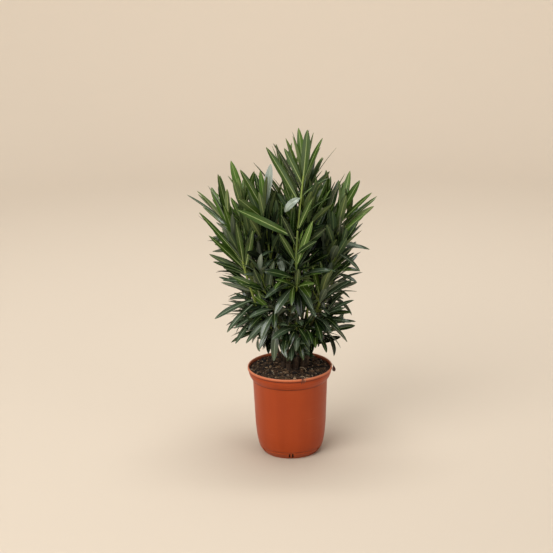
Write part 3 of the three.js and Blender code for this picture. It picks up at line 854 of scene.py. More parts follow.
def bud_leaves(mass, axis, fine, crown, shoot=None):
    """Small upright leaves round an apex."""
    phase = 360 * fine.next()
    for row, (size, open_angle) in enumerate(BUD_LEAVES):
        for i in range(LEAVES_IN_WHORL):
            node = {
                "from_apex": 1 + row,
                "open": open_angle,
                "arch": 4,
                "length": LEAF_LENGTH * mass["leaf"] * size,
                "width": 0.8 * mass["width"],
            }
            turn = phase + WHORL_STEP * (i + row / 2) + fine.around(20)
            varied = {"open": fine.around(4), "size": 1 + fine.around(0.3), "roll": fine.around(10)}
            leaf = leaf_at(axis, node, turn, varied, TRIES[0])
            tone = tone_of(shoot, 0, axis.curve.at(1), fine)
            leaf = replace(leaf, fold=radians(FOLD["bud"]), tone=tone)
            if in_space(leaf_rings(leaf, [1])[:, 0], mass["name"], 0, FINE_EASE):
                crown.take(leaf, mass["name"])


# The tones of leaves: the level of gloss, then the blade, its part beside the midrib, the midrib and the
# underside, in sRGB bytes
TONES = {
    "young": (0.5, (80, 114, 44), (90, 123, 54), (158, 174, 108), (118, 142, 80)),
    "fresh": (0.5, (68, 94, 30), (75, 101, 36), (158, 172, 108), (98, 118, 68)),
    "olive": (0.45, (51, 73, 22), (57, 79, 27), (148, 162, 102), (84, 102, 60)),
    "deep": (0.4, (28, 46, 15), (33, 51, 19), (120, 136, 88), (62, 82, 52)),
    # grey: partly the lower leaves' own grey-green tone and partly their sheen, painted in
    "grey": (0.65, (54, 69, 48), (61, 77, 55), (136, 150, 122), (88, 102, 84)),
    # pale: painted sheen, a pale grey-green for leaves that catch the light
    "pale": (0.5, (110, 121, 106), (116, 127, 111), (150, 160, 142), (110, 121, 106)),
    # dark: a near-black green, painted shade for leaves inside the crown and low down
    "dark": (0.2, (9, 19, 7), (13, 25, 9), (50, 64, 38), (28, 40, 25)),
    "tinted": (0.5, (104, 92, 46), (120, 108, 60), (156, 150, 104), (128, 128, 84)),
}
TONE_NAMES = list(TONES)

# Shoots that are still young, by their mass and the number of the axis in it, and one with tinted tips
YOUNG_SHOOTS = {("left_upper", 0), ("mid_left", 2), ("front", 1)}
TINTED_SHOOTS = {("mid_left", 1)}
# The shares of the tones by height; below 420 some leaves take the dark tone, as painted shade
TONES_BY_HEIGHT = [
    (420, {"grey": 0.62, "deep": 0.24, "dark": 0.12, "olive": 0.02}),
    (540, {"grey": 0.34, "deep": 0.3, "olive": 0.36}),
    (math.inf, {"olive": 0.58, "fresh": 0.22, "deep": 0.2}),
]
# Painted shade: leaves deep inside the lower crown take the dark and deep tones
INNER_SHADE_TONES = {"dark": 0.62, "deep": 0.38}
INNER_SHARE_OF_REACH = 0.45
INNER_HEIGHT = 550


def dealt(shares, fine):
    """A tone drawn by its share."""
    drawn = fine.next()
    for tone, share in shares.items():
        drawn -= share
        if drawn < 0:
            return tone
    return tone


def tone_of(shoot, k, place, fine):
    """The tone of a whorl, by its shoot's age, its place from the apex, its height and its depth. Deep
    inside the lower crown, the dark and deep tones are painted shade.
    """
    if shoot in TINTED_SHOOTS and k < 2:
        return "tinted"
    if shoot in YOUNG_SHOOTS:
        return "young" if k < 2 else "fresh"
    away = math.hypot(place[0] - CROWN_MIDDLE[0], place[1] - CROWN_MIDDLE[1])
    inner = INNER_SHARE_OF_REACH * np.interp(place[2], REACH_HEIGHTS, CROWN_REACH)
    if away < inner and place[2] < INNER_HEIGHT:
        return dealt(INNER_SHADE_TONES, fine)
    return dealt(next(shares for limit, shares in TONES_BY_HEIGHT if place[2] < limit), fine)


# The materials


def linear(rgb):
    """A colour in sRGB bytes, as the shaders take it."""
    shares = [byte / 255 for byte in rgb]
    return (*[s / 12.92 if s <= 0.04045 else ((s + 0.055) / 1.055) ** 2.4 for s in shares], 1)


def material(name, **inputs):
    """A principled material. A value given by the name of its socket, with _ for a space, is set on it."""
    made = bpy.data.materials.new(name)
    made.use_nodes = True
    shader = made.node_tree.nodes["Principled BSDF"]
    for key, value in inputs.items():
        shader.inputs[key.replace("_", " ")].default_value = value
    return made


class Nodes:
    """Short ways to add and join the nodes of a material. A value may be a number, a colour or a socket."""

    def __init__(self, made):
        self.tree = made.node_tree
        self.shader = self.tree.nodes["Principled BSDF"]
        self.place = self.tree.nodes.new("ShaderNodeTexCoord").outputs["Object"]

    def put(self, value, end):
        if isinstance(value, bpy.types.NodeSocket):
            self.tree.links.new(value, end)
        else:
            end.default_value = value

    def dress(self, **inputs):
        """Puts values on the shader."""
        for name, value in inputs.items():
            self.put(value, self.shader.inputs[name.replace("_", " ")])

    def add(self, kind, output, **inputs):
        """The named output of a new node, with values on its named inputs."""
        node = self.tree.nodes.new(f"ShaderNode{kind}")
        for name, value in inputs.items():
            self.put(value, node.inputs[name.replace("_", " ")])
        return node.outputs[output]

    def stretched(self, scale):
        """Places scaled along each axis."""
        return self.add("Mapping", "Vector", Scale=scale, Vector=self.place)

    def noise(self, scale, detail=4, roughness=0.55, place=None):
        values = {"Scale": scale, "Detail": detail, "Roughness": roughness}
        return self.add("TexNoise", "Fac", Vector=place or self.place, **values)

    def height(self):
        return self.add("SeparateXYZ", "Z", Vector=self.place)

    def range(self, source, low, high, to_low=0, to_high=1):
        values = {"From_Min": low, "From_Max": high, "To_Min": to_low, "To_Max": to_high}
        return self.add("MapRange", "Result", Value=source, **values)

    def bump(self, source, strength, distance):
        self.dress(Normal=self.add("Bump", "Normal", Strength=strength, Distance=distance, Height=source))

    def ramp(self, source, *stops):
        """Colours by a value, from pairs of a value and a colour in sRGB bytes or a grey from 0 to 1."""
        node = self.tree.nodes.new("ShaderNodeValToRGB")
        elements = node.color_ramp.elements
        for i, (at, colour) in enumerate(stops):
            element = elements[i] if i < 2 else elements.new(at)
            element.position = at
            element.color = linear(colour) if isinstance(colour, tuple) else (colour, colour, colour, 1)
        self.put(source, node.inputs["Fac"])
        return node.outputs["Color"]

    def mixed(self, share, first, second):
        """A blend of a colour's socket and a colour's socket or sRGB bytes, by a share from a socket."""
        node = self.tree.nodes.new("ShaderNodeMix")
        node.data_type = "RGBA"
        self.put(share, node.inputs["Factor"])
        ends = [socket for socket in node.inputs if socket.name in "AB" and socket.type == "RGBA"]
        for value, end in zip((first, second), ends):
            self.put(linear(value) if isinstance(value, tuple) else value, end)
        return next(socket for socket in node.outputs if socket.type == "RGBA")

    def times_plus(self, source, factor, more):
        """A value times another, plus a third."""
        node = self.tree.nodes.new("ShaderNodeMath")
        node.operation = "MULTIPLY_ADD"
        for value, end in zip((source, factor, more), node.inputs):
            self.put(value, end)
        return node.outputs["Value"]


def leaf_materials():
    """Four materials for each tone in turn: the blade, beside the midrib, the midrib and the underside."""
    roughness = {"blade": 0.27, "inner": 0.25, "rib": 0.36, "under": 0.55}
    made = []
    for tone, (gloss, *colours) in TONES.items():
        for (part, rough), colour in zip(roughness.items(), colours):
            name = f"leaf_{tone}_{part}"
            made.append(material(name, Base_Color=linear(colour), Roughness=rough, Specular_IOR_Level=gloss))
    return made


TWIG_LOOKS = {
    "old": (88, 76, 54),
    "brown_green": (88, 92, 50),
    "green": (104, 122, 52),
    "young": (126, 144, 62),
}


def twig_materials():
    return [
        material(f"twig_{name}", Base_Color=linear(colour), Roughness=0.55)
        for name, colour in TWIG_LOOKS.items()
    ]


def bark_material():
    """Grey-brown bark with pale cork spots below, which turns green further up the limb."""
    look = material("bark")
    nodes = Nodes(look)
    grain = nodes.noise(1, 6, 0.6, nodes.stretched((420, 420, 90)))
    brown = nodes.ramp(grain, (0.25, (34, 24, 18)), (0.5, (60, 45, 33)), (0.78, (92, 74, 55)))
    green = nodes.ramp(grain, (0.25, (50, 56, 28)), (0.5, (76, 84, 42)), (0.78, (104, 112, 66)))
    rise = nodes.range(nodes.height(), 0.26, 0.4)
    greener = nodes.times_plus(nodes.noise(30, 3), 0.8, rise)
    bark = nodes.mixed(nodes.ramp(greener, (0.6, 0.0), (1.0, 1.0)), brown, green)
    cork = nodes.add("TexVoronoi", "Distance", Vector=nodes.stretched((330, 330, 190)), Scale=1)
    spotted = nodes.mixed(nodes.ramp(cork, (0.12, 0.6), (0.24, 0.0)), bark, (164, 150, 120))
    nodes.dress(Base_Color=spotted, Roughness=nodes.range(grain, 0.2, 0.8, 0.82, 0.58))
    nodes.bump(grain, 0.5, 0.0004)
    return look


# Heights on the pot: the creases, darkened with painted shade; the lip, lightened with a painted highlight;
# and the darker inside
PAINTED_CREASE_SHADE = [(17.4, 20.8), (187.6, 192.4), (210.2, 215.6)]
LIP_HIGHLIGHT = (214.8, 219.8)
DARK_INSIDE_BELOW = 219.4


def pot_material():
    """Satin moulded plastic: faint upright bands, a little dust at the foot and fine scuffs, with painted
    shade in the creases and a painted highlight on the lip.
    """
    look = material("pot_plastic", Specular_IOR_Level=0.3)
    nodes = Nodes(look)
    bands = nodes.noise(1, 3, 0.5, nodes.stretched((26, 26, 1.2)))
    clouds = nodes.noise(14, 5, 0.6)
    base = nodes.ramp(bands, (0.3, (153, 58, 14)), (0.5, (160, 62, 16)), (0.72, (167, 67, 20)))
    toned = nodes.mixed(nodes.ramp(clouds, (0.4, 0.0), (0.75, 0.35)), base, (152, 56, 18))
    low = nodes.range(nodes.height(), 0.05, 0.0)
    dust = nodes.times_plus(nodes.noise(60, 6, 0.7), low, 0)
    dusty = nodes.mixed(nodes.range(dust, 0.2, 0.8, 0, 0.35), toned, (148, 92, 62))
    scuff = nodes.noise(1, 2, 0.5, nodes.stretched((12, 12, 240)))
    scuffed = nodes.mixed(nodes.ramp(scuff, (0.66, 0.0), (0.8, 0.25)), dusty, (196, 112, 72))
    rise = nodes.range(nodes.height(), 0, POT_HEIGHT * METRES)
    # Painted shade: the creases at the foot step, the wall step and under the lip are darkened.
    stops = [(0, 0.0)]
    for low_edge, high_edge in PAINTED_CREASE_SHADE:
        middle = (low_edge + high_edge) / 2
        stops += [(low_edge / POT_HEIGHT, 0.0), (middle / POT_HEIGHT, 0.8), (high_edge / POT_HEIGHT, 0.0)]
    crease_shaded = nodes.mixed(nodes.ramp(rise, *stops), scuffed, (70, 26, 12))
    # Painted highlight: the lip is lightened towards its top edge.
    lip_highlight = nodes.ramp(rise, (LIP_HIGHLIGHT[0] / POT_HEIGHT, 0.0), (LIP_HIGHLIGHT[1] / POT_HEIGHT, 0.75))
    finished = nodes.mixed(lip_highlight, crease_shaded, (224, 140, 102))
    nodes.dress(Base_Color=finished, Roughness=nodes.range(clouds, 0.3, 0.75, 0.36, 0.52))
    nodes.bump(nodes.noise(900, 2), 0.12, 0.0002)
    return look


def dark_inside_material():
    """The inside of the pot, dark brown with blotches."""
    look = material("pot_dark_inside", Roughness=0.8, Specular_IOR_Level=0.3)
    nodes = Nodes(look)
    stains = nodes.noise(80, 5, 0.65)
    stained = nodes.ramp(stains, (0.36, (30, 19, 14)), (0.56, (52, 29, 20)), (0.76, (104, 48, 26)))
    nodes.dress(Base_Color=stained)
    return look


def soil_material():
    """Dark damp peat with brown and greyish patches."""
    look = material("soil_peat", Specular_IOR_Level=0.3)
    nodes = Nodes(look)
    grains = nodes.noise(380, 8, 0.7)
    clumps = nodes.noise(55, 4, 0.6)
    dark = nodes.ramp(grains, (0.3, (12, 8, 6)), (0.52, (38, 27, 20)), (0.75, (92, 72, 54)))
    light = nodes.ramp(grains, (0.3, (26, 18, 13)), (0.5, (78, 59, 43)), (0.72, (138, 114, 88)))
    peat = nodes.mixed(nodes.ramp(clumps, (0.42, 0.0), (0.66, 1.0)), dark, light)
    nodes.dress(Base_Color=peat, Roughness=nodes.range(grains, 0.3, 0.7, 0.95, 0.8))
    nodes.bump(grains, 0.8, 0.0012)
    return look


# Meshes


def linked(name, data):
    """A new object in the scene."""
    made = bpy.data.objects.new(name, data)
    bpy.context.scene.collection.objects.link(made)
    return made


class Shape:
    """Points, faces and the material number of each face, for one joined mesh."""

    def __init__(self):
        self.points = []
        self.faces = []
        self.numbers = []
        self.size = 0

    def add(self, points, *faces_and_numbers):
        """Adds points, and pairs of faces over them and their material numbers, or one for all of them."""
        for faces, numbers in faces_and_numbers:
            self.faces.extend((np.asarray(faces) + self.size).tolist())
            self.numbers.append(np.broadcast_to(numbers, len(faces)))
        self.points.append(np.asarray(points))
        self.size += len(points)

    def mesh(self, name):
        mesh = bpy.data.meshes.new(name)
        mesh.from_pydata((np.concatenate(self.points) * METRES).tolist(), [], self.faces)
        return mesh

    def piece(self, name, slot, materials, replaces=(), sharp=50):
        """The finished object, in metres and riding on the part's body."""
        mesh = self.mesh(name)
        for look in materials:
            mesh.materials.append(look)
        mesh.polygons.foreach_set("material_index", np.concatenate(self.numbers).astype(np.int32))
        mesh.polygons.foreach_set("use_smooth", np.ones(len(self.faces), bool))
        mesh.set_sharp_from_angle(angle=radians(sharp))
        made = linked(name, mesh)
        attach(made, "root")
        if replaces:
            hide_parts(*replaces)
        return made


def ring_quads(rings, sides):
    """Faces between rings of points, pointing out if the rings turn anticlockwise seen from the last."""
    r, i = np.meshgrid(np.arange(rings - 1), np.arange(sides), indexing="ij")
    low, beside = r * sides + i, r * sides + (i + 1) % sides
    return np.stack([low, beside, beside + sides, low + sides], axis=2).reshape(-1, 4)


def fan(first, sides, turned=False):
    """A flat cap over a ring of points that begins at a number."""
    faces = [(first, first + i, first + i + 1) for i in range(1, sides - 1)]
    return [face[::-1] for face in faces] if turned else faces


def add_capped(shape, rings, numbers):
    """A tube over rings of points with flat caps, and a material number for each span or one for all."""
    count, sides = rings.shape[:2]
    spans = np.broadcast_to(numbers, count - 1)
    shape.add(
        rings.reshape(-1, 3),
        (ring_quads(count, sides), np.repeat(spans, sides)),
        (fan(0, sides, turned=True), spans[0]),
        (fan((count - 1) * sides, sides), spans[-1]),
    )


def add_closed(shape, rings, start, end):
    """A skin over rings of points, closed by a fan to a point at each end."""
    count, sides = rings.shape[:2]
    first, last = count * sides, (count - 1) * sides
    beside = [(i, (i + 1) % sides) for i in range(sides)]
    shape.add(
        np.concatenate([rings.reshape(-1, 3), [start, end]]),
        (ring_quads(count, sides), 0),
        ([(first, j, i) for i, j in beside], 0),
        ([(first + 1, last + i, last + j) for i, j in beside], 0),
    )


def turned_rings(outline_points, sides):
    """Rings of points about +Z, from radii and heights."""
    turns = np.arange(sides) * TAU / sides
    return np.array([[(r * math.cos(t), r * math.sin(t), z) for t in turns] for r, z in outline_points])


# A leaf's four materials, as its eight sides have them, and how many spans at its foot are paler
LEAF_SIDES = 8
BLADE, INNER, RIB, UNDER = range(4)
SIDE_PARTS = np.array([BLADE, INNER, RIB, INNER, BLADE, UNDER, RIB, UNDER])
PALE_SPANS = 3


def add_leaf(shape, leaf):
    """A leaf with a tip and a closed foot, and with its tone's four materials."""
    rings = leaf_rings(leaf, STATIONS)
    tip = leaf_rings(leaf, [1])[0, LEFT_RIB]
    rows = len(STATIONS)
    parts = np.tile(SIDE_PARTS, (rows - 1, 1))
    parts[0] = RIB
    parts[:PALE_SPANS][parts[:PALE_SPANS] == BLADE] = INNER
    first = 4 * TONE_NAMES.index(leaf.tone)
    last = (rows - 1) * LEAF_SIDES
    ends = [(last + i, last + (i + 1) % LEAF_SIDES, rows * LEAF_SIDES) for i in range(LEAF_SIDES)]
    shape.add(
        np.concatenate([rings.reshape(-1, 3), [tip]]),
        (ring_quads(rows, LEAF_SIDES), first + parts.ravel()),
        (ends, first + SIDE_PARTS),
        (fan(0, LEAF_SIDES, turned=True), first + RIB),
    )


NEARLY_LEVEL = 0.9


def tube_rings(curve, shares, radii, sides, sunk=0):
    """Rings of points across a curve, not twisted, and the way out at each point. The foot may be sunk."""
    centres, spokes = [], []
    towards = LEVEL if abs(curve.tangent(shares[0]) @ LEVEL) < NEARLY_LEVEL else UPRIGHT
    for share, radius in zip(shares, radii):
        grain = curve.tangent(share)
        first = unit(towards - (towards @ grain) * grain)
        second = np.cross(grain, first)
        turns = np.arange(sides)[:, None] * TAU / sides
        spokes.append(np.cos(turns) * first + np.sin(turns) * second)
        centres.append(curve.at(share) - (sunk * grain if share == 0 else 0))
        towards = first
    spokes = np.array(spokes)
    return np.array(centres)[:, None] + np.array(radii)[:, None, None] * spokes, spokes


TWIG_SIDES = 8
TWIG_STEP = 5
NODE_SWELL = {"height": 0.35, "over": 2.2}
TWIG_OLD_BELOW = 330
TWIG_BROWN_BELOW = 430
TWIG_YOUNG_OVER = 90


def add_twig(shape, axis, mass):
    """A green twig, swollen where its whorls stand, browner low down and paler at its apex."""
    length = axis.curve.length
    count = max(4, int(length / TWIG_STEP))
    shares = np.linspace(0, 1, count + 1)
    radii = mix(axis.foot, axis.tip, shares)
    for node in whorls(mass, axis, stems[mass["name"]].length):
        away = (1 - shares) * length - node["from_apex"]
        radii = radii + NODE_SWELL["height"] * np.exp(-((away / NODE_SWELL["over"]) ** 2))
    rings, _ = tube_rings(axis.curve, shares, radii, TWIG_SIDES, sunk=1)
    heights = rings[:-1, 0, 2]
    from_apex = (1 - shares[:-1]) * length
    old, brown_green, green, young = range(len(TWIG_LOOKS))
    looks = np.where(heights < TWIG_BROWN_BELOW, brown_green, green)
    looks[heights < TWIG_OLD_BELOW] = old
    looks[(from_apex < TWIG_YOUNG_OVER) & (heights > TWIG_OLD_BELOW) | (heights > axis.pale_from)] = young
    add_capped(shape, rings, looks)


LIMB_SIDES = 24
LIMB_STEP = 1.6
RIDGES = {"height": 0.11, "wide": (3.5, 14), "narrow": (7, 6), "narrow_share": 0.6}
SCARS = {"every": 27, "over": 2.4, "ring": 0.22, "pads": 0.5, "cut": 0.3, "cut_above": 1.6, "cut_over": 0.9}
CORK_SPOTS = {"per_mm": 0.5, "height": 0.2, "long": 1.5, "wide": 0.7}


def add_limb(shape, curve, size, seed):
    """A limb with bark relief: rings of leaf scars, raised cork spots and fine ridges along the grain."""
    random = np.random.default_rng(seed)
    count = int(curve.length / LIMB_STEP)
    shares = np.linspace(0, 1, count + 1)
    radii = np.array([limb_radius(size, share) for share in shares])
    rings, spokes = tube_rings(curve, shares, radii, LIMB_SIDES, size["sunk"])
    along = (shares * curve.length)[:, None]
    around = (np.arange(LIMB_SIDES) * TAU / LIMB_SIDES)[None]
    (turn_by, step), (fine_turn_by, fine_step) = RIDGES["wide"], RIDGES["narrow"]
    narrow = value_noise(around * fine_turn_by, along / fine_step, seed + 1)
    ridges = value_noise(around * turn_by, along / step, seed) + RIDGES["narrow_share"] * narrow
    relief = RIDGES["height"] * ridges
    scars = np.arange(SCARS["every"] * random.uniform(0.3, 0.9), curve.length, SCARS["every"])
    for row, at in enumerate(scars):
        swell = np.exp(-(((along - at) / SCARS["over"]) ** 2))
        turns = around * LEAVES_IN_WHORL / 2 + row * math.pi / 2
        relief = relief + swell * (SCARS["ring"] + SCARS["pads"] * np.abs(np.cos(turns)) ** 5)
        cut = np.exp(-(((along - at - SCARS["cut_above"]) / SCARS["cut_over"]) ** 2))
        relief = relief - SCARS["cut"] * cut * np.abs(np.cos(turns)) ** 8
    for _ in range(int(curve.length * CORK_SPOTS["per_mm"])):
        at, turn = random.uniform(0, curve.length), random.uniform(0, TAU)
        aside = np.abs((around - turn + math.pi) % TAU - math.pi) * radii[:, None]
        away = ((along - at) / CORK_SPOTS["long"]) ** 2 + (aside / CORK_SPOTS["wide"]) ** 2
        relief = relief + CORK_SPOTS["height"] * np.exp(-away)
    add_capped(shape, rings + relief[..., None] * spokes, 0)


def value_noise(x, y, seed):
    """Smooth noise from -1 to 1 over a lattice of unit cells."""
    x, y = np.broadcast_arrays(np.asarray(x, float), np.asarray(y, float))
    column, row = np.floor(x).astype(np.int64), np.floor(y).astype(np.int64)
    u, v = x - column, y - row
    u, v = u * u * (3 - 2 * u), v * v * (3 - 2 * v)

    def corner(i, j):
        n = ((column + i) * 73856093) ^ ((row + j) * 19349663) ^ (seed * 83492791)
        n = ((n ^ (n >> 13)) * 1274126177) & 0xFFFFFFFF
        n = ((n ^ (n >> 16)) * 668265263) & 0xFFFFFFFF
        return n / 2**31 - 1

    return mix(mix(corner(0, 0), corner(1, 0), u), mix(corner(0, 1), corner(1, 1), u), v)


def filleted(corners):
    """An outline with an arc in place of each corner that has a fillet."""
    points = []
    for i, (radius, height, fillet) in enumerate(corners):
        corner = np.array([radius, height], float)
        if i == 0 or i == len(corners) - 1 or fillet == 0:
            points.append(corner)
            continue
        back = np.array(corners[i - 1][:2], float) - corner
        ahead = np.array(corners[i + 1][:2], float) - corner
        room = 0.45 * min(np.linalg.norm(back), np.linalg.norm(ahead))
        back, ahead = unit(back), unit(ahead)
        half_turn = (math.pi - math.acos(np.clip(back @ ahead, -1, 1))) / 2
        reach = min(fillet * math.tan(half_turn), room)
        steps = max(2, math.ceil(half_turn / radians(7)))
        for t in np.linspace(0, 1, steps + 1):
            points.append(corner + reach * ((1 - t) ** 2 * back + t**2 * ahead))
    return points


def box_points(low, high):
    corners = [(low[0], low[1]), (high[0], low[1]), (high[0], high[1]), (low[0], high[1])]
    return np.array([(x, y, z) for z in (low[2], high[2]) for x, y in corners])


BOX_FACES = [(0, 3, 2, 1), (4, 5, 6, 7), (0, 1, 5, 4), (1, 2, 6, 5), (2, 3, 7, 6), (3, 0, 4, 7)]


def make_pot():
    """The pot, dark brown inside, with its drain slots cut through the foot."""
    shape = Shape()
    (_, foot), *profile, (_, floor) = filleted([*FOOT_RECESS, *POT_OUTER, *POT_INNER])
    add_closed(shape, turned_rings(profile, POT_SIDES), (0, 0, foot), (0, 0, floor))
    heights = [height for _, height in profile]
    top = heights.index(max(heights))
    dark_inside = [i > top and height < DARK_INSIDE_BELOW for i, height in enumerate(heights)][:-1]
    shape.numbers[0] = np.repeat(dark_inside, POT_SIDES).astype(int)
    pot = shape.piece("pot_body", "pot", [pot_material(), dark_inside_material()], ["pot"], POT_SHARP)
    cuts = Shape()
    for i in range(2 * DRAINS["pairs"]):
        azimuth = TAU * (i // 2) / DRAINS["pairs"] - math.pi / 2
        aside = ((i % 2) - 0.5) * DRAINS["apart"]
        near, far = DRAINS["reach"] - DRAINS["depth"] / 2, DRAINS["reach"] + DRAINS["depth"] / 2
        half, bottom = DRAINS["width"] / 2, DRAINS["bottom"]
        points = box_points((near, aside - half, bottom), (far, aside + half, bottom + DRAINS["height"]))
        turn = np.array(Matrix.Rotation(azimuth, 3, "Z"))
        cuts.add(points @ turn.T, (BOX_FACES, 0))
    cutter = linked("drain_cuts", cuts.mesh("drain_cuts"))
    modifier = pot.modifiers.new("drains", "BOOLEAN")
    modifier.object = cutter
    modifier.solver = "EXACT"
    bpy.context.view_layer.update()
    cut = bpy.data.meshes.new_from_object(pot.evaluated_get(bpy.context.evaluated_depsgraph_get()))
    pot.modifiers.clear()
    pot.data = cut
    cut.name = "pot_body"
    cut.set_sharp_from_angle(angle=radians(POT_SHARP))
    bpy.data.objects.remove(cutter)


def inner_radius_at(height):
    outline_points = [(r, z) for r, z, _ in POT_INNER[:-1]][::-1]
    return float(np.interp(height, [z for _, z in outline_points], [r for r, _ in outline_points]))


SOIL_RINGS = 88
SOIL_SIDES = 320
SOIL_SEED = 7
SOIL_RADIUS = inner_radius_at(SOIL_EDGE_HEIGHT) - CLEAR
WALL_OF_SOIL_BELOW = SOIL_EDGE_HEIGHT - 6

# The relief of the soil, as pairs of a height and a width of the noise
LUMPS = [(1.6, 19), (1.7, 8)]
GRAINS = [(1.3, 3.8), (0.5, 1.9)]


def relief_of(x, y, noises, seed):
    return sum(
        height * value_noise(x / width, y / width, seed + i) for i, (height, width) in enumerate(noises)
    )


def soil_height(x, y):
    """The soil's surface: a low mound with lumps and grains."""
    radius = np.hypot(x, y)
    slope = np.clip((radius - SOIL_MIDDLE_RADIUS) / (SOIL_RADIUS - SOIL_MIDDLE_RADIUS), 0, 1)
    base = mix(SOIL_MIDDLE_HEIGHT, SOIL_EDGE_HEIGHT, slope * slope * (3 - 2 * slope))
    grains = relief_of(x, y, GRAINS, SOIL_SEED + len(LUMPS))
    return base + relief_of(x, y, LUMPS, SOIL_SEED) + np.abs(grains)


def make_soil():
    """The filled inside of the pot, with a lumpy surface."""
    shape = Shape()
    turns = np.arange(SOIL_SIDES) * TAU / SOIL_SIDES
    low = [(r - CLEAR, z + CLEAR) for r, z, _ in POT_INNER[-2:0:-1] if z < WALL_OF_SOIL_BELOW]
    rings = [*turned_rings(low, SOIL_SIDES)]
    for radius in np.linspace(SOIL_RADIUS, SOIL_RADIUS / SOIL_RINGS, SOIL_RINGS):
        x, y = radius * np.cos(turns), radius * np.sin(turns)
        rings.append(np.stack([x, y, soil_height(x, y)], axis=1))
    top = (0, 0, float(soil_height(0, 0)))
    add_closed(shape, np.array(rings), (0, 0, FLOOR_THICKNESS + CLEAR), top)
    shape.piece("soil_body", "soil", [soil_material()], ["soil"], sharp=180)


CRUMBS = 1500
FIBRES = 420
CRUMB_SIZES = [1.2, 2.2, 3.6, 5.2]
CRUMB_SIZE_SHARES = [0.3, 0.36, 0.24, 0.1]
CRUMB_STRETCH = [(0.8, 1.6), (0.5, 0.9), (0.35, 0.7)]
CRUMB_ROWS = 4
CRUMB_SIDES = 6
CRUMB_TONES = [
    (28, 20, 16),
    (56, 41, 30),
    (84, 62, 44),
    (122, 95, 69),
    (168, 141, 110),
    (16, 12, 11),
    (146, 138, 120),
]
CRUMB_SHARES = [0.26, 0.2, 0.16, 0.13, 0.08, 0.11, 0.06]
FIBRE_TONES = [(112, 86, 58), (140, 114, 82), (78, 58, 40), (168, 146, 116)]
FIBRE_SHARES = [0.4, 0.25, 0.25, 0.1]


def spot_on_soil(random, inside=3):
    radius = (SOIL_RADIUS - inside) * math.sqrt(random.uniform(0, 1))
    turn = random.uniform(0, TAU)
    return radius * math.cos(turn), radius * math.sin(turn)


def add_crumb(shape, random):
    """A rough ball, stretched and turned, half sunk in the soil."""
    x, y = spot_on_soil(random)
    size = random.uniform(0.8, 1) * random.choice(CRUMB_SIZES, p=CRUMB_SIZE_SHARES)
    stretch = size * np.array([random.uniform(*limits) for limits in CRUMB_STRETCH])
    spin = Matrix.Rotation(random.uniform(0, TAU), 3, "Z")
    tilt = Matrix.Rotation(random.normal(0, 0.35), 3, "X")
    points = []
    for row in range(CRUMB_ROWS):
        lean = math.pi * (row + 0.7) / (CRUMB_ROWS + 0.4)
        for i in range(CRUMB_SIDES):
            around = TAU * (i + row / 2) / CRUMB_SIDES
            out = math.sin(lean)
            ball = np.array([out * math.cos(around), out * math.sin(around), -math.cos(lean)])
            points.append(ball * random.uniform(0.8, 1.15) * stretch)
    points = np.array(points) @ np.array(spin @ tilt).T + (x, y, float(soil_height(x, y)) + 0.25 * size)
    tone = random.choice(len(CRUMB_TONES), p=CRUMB_SHARES)
    add_capped(shape, points.reshape(CRUMB_ROWS, CRUMB_SIDES, 3), tone)


def add_fibre(shape, random):
    """A thin fibre, bent and arched, whose ends lie on the soil."""
    middle = np.array(spot_on_soil(random, inside=12))
    length, turn = random.uniform(5, 20), random.uniform(0, TAU)
    ahead = np.array([math.cos(turn), math.sin(turn)])
    beside = np.array([-ahead[1], ahead[0]])
    bends = random.uniform(-0.35, 0.35, 2)
    lift = random.uniform(0.3, 2.2)
    limit = SOIL_RADIUS - 2
    track = []
    for share in np.linspace(0, 1, 4):
        bend = bends[0] * share * share + bends[1] * share
        place = middle + length * (share - 0.5) * ahead + length * bend * beside / 2
        away = np.hypot(*place)
        if away > limit:
            place = place * limit / away
        track.append((*place, float(soil_height(*place)) + 0.3 + lift * math.sin(math.pi * share)))
    tone = len(CRUMB_TONES) + random.choice(len(FIBRE_TONES), p=FIBRE_SHARES)
    add_thread(shape, track, random.uniform(0.16, 0.4), 3, tone)


def make_crumbs():
    """Bark chips and lumps of peat, and thin fibres, lying on the soil."""
    random = np.random.default_rng(SOIL_SEED)
    shape = Shape()
    for _ in range(CRUMBS):
        add_crumb(shape, random)
    for _ in range(FIBRES):
        add_fibre(shape, random)
    looks = [material(f"crumb_{i}", Base_Color=linear(c), Roughness=0.9) for i, c in enumerate(CRUMB_TONES)]
    looks += [material(f"fibre_{i}", Base_Color=linear(c), Roughness=0.8) for i, c in enumerate(FIBRE_TONES)]
    shape.piece("soil_crumbs", "soil", looks, sharp=35)


def add_thread(shape, track, radius, sides, tone, steps=9):
    """A thin tapering thread along a curve through the given points."""
    curve = Curve(*track)
    shares = np.linspace(0, 1, steps)
    radii = radius * (1 - 0.6 * shares)
    rings, _ = tube_rings(curve, shares, radii, sides)
    add_capped(shape, rings, tone)


def make_rootlets():
    """A pale rootlet that lies over the rim at the front, and another on the soil."""
    shape = Shape()
    over_rim = [(27, -86, 218), (28, -95, 225), (29, -104, 229), (31, -105, 218), (27, -101.5, 209)]
    crossing = [(18, -84, 218), (24, -94, 226), (32, -105, 228), (35, -107, 218), (33, -104, 211)]
    branch = [(22, -84, 219), (31, -92, 228), (36, -100, 229), (38, -102, 222), (36, -100, 214)]
    on_soil = [(24, -14, 218), (31, -26, 228), (42, -34, 222), (39, -44, 217)]
    for track, radius, tone in ((over_rim, 1.6, 1), (crossing, 1.5, 1), (branch, 0.9, 0), (on_soil, 1.1, 0)):
        add_thread(shape, track, radius, 6, tone, steps=18)
    looks = [
        material("rootlet_pale", Base_Color=linear((176, 158, 132)), Roughness=0.7),
        material("rootlet_dark", Base_Color=linear((74, 50, 40)), Roughness=0.7),
    ]
    shape.piece("rootlets", "bark", looks)


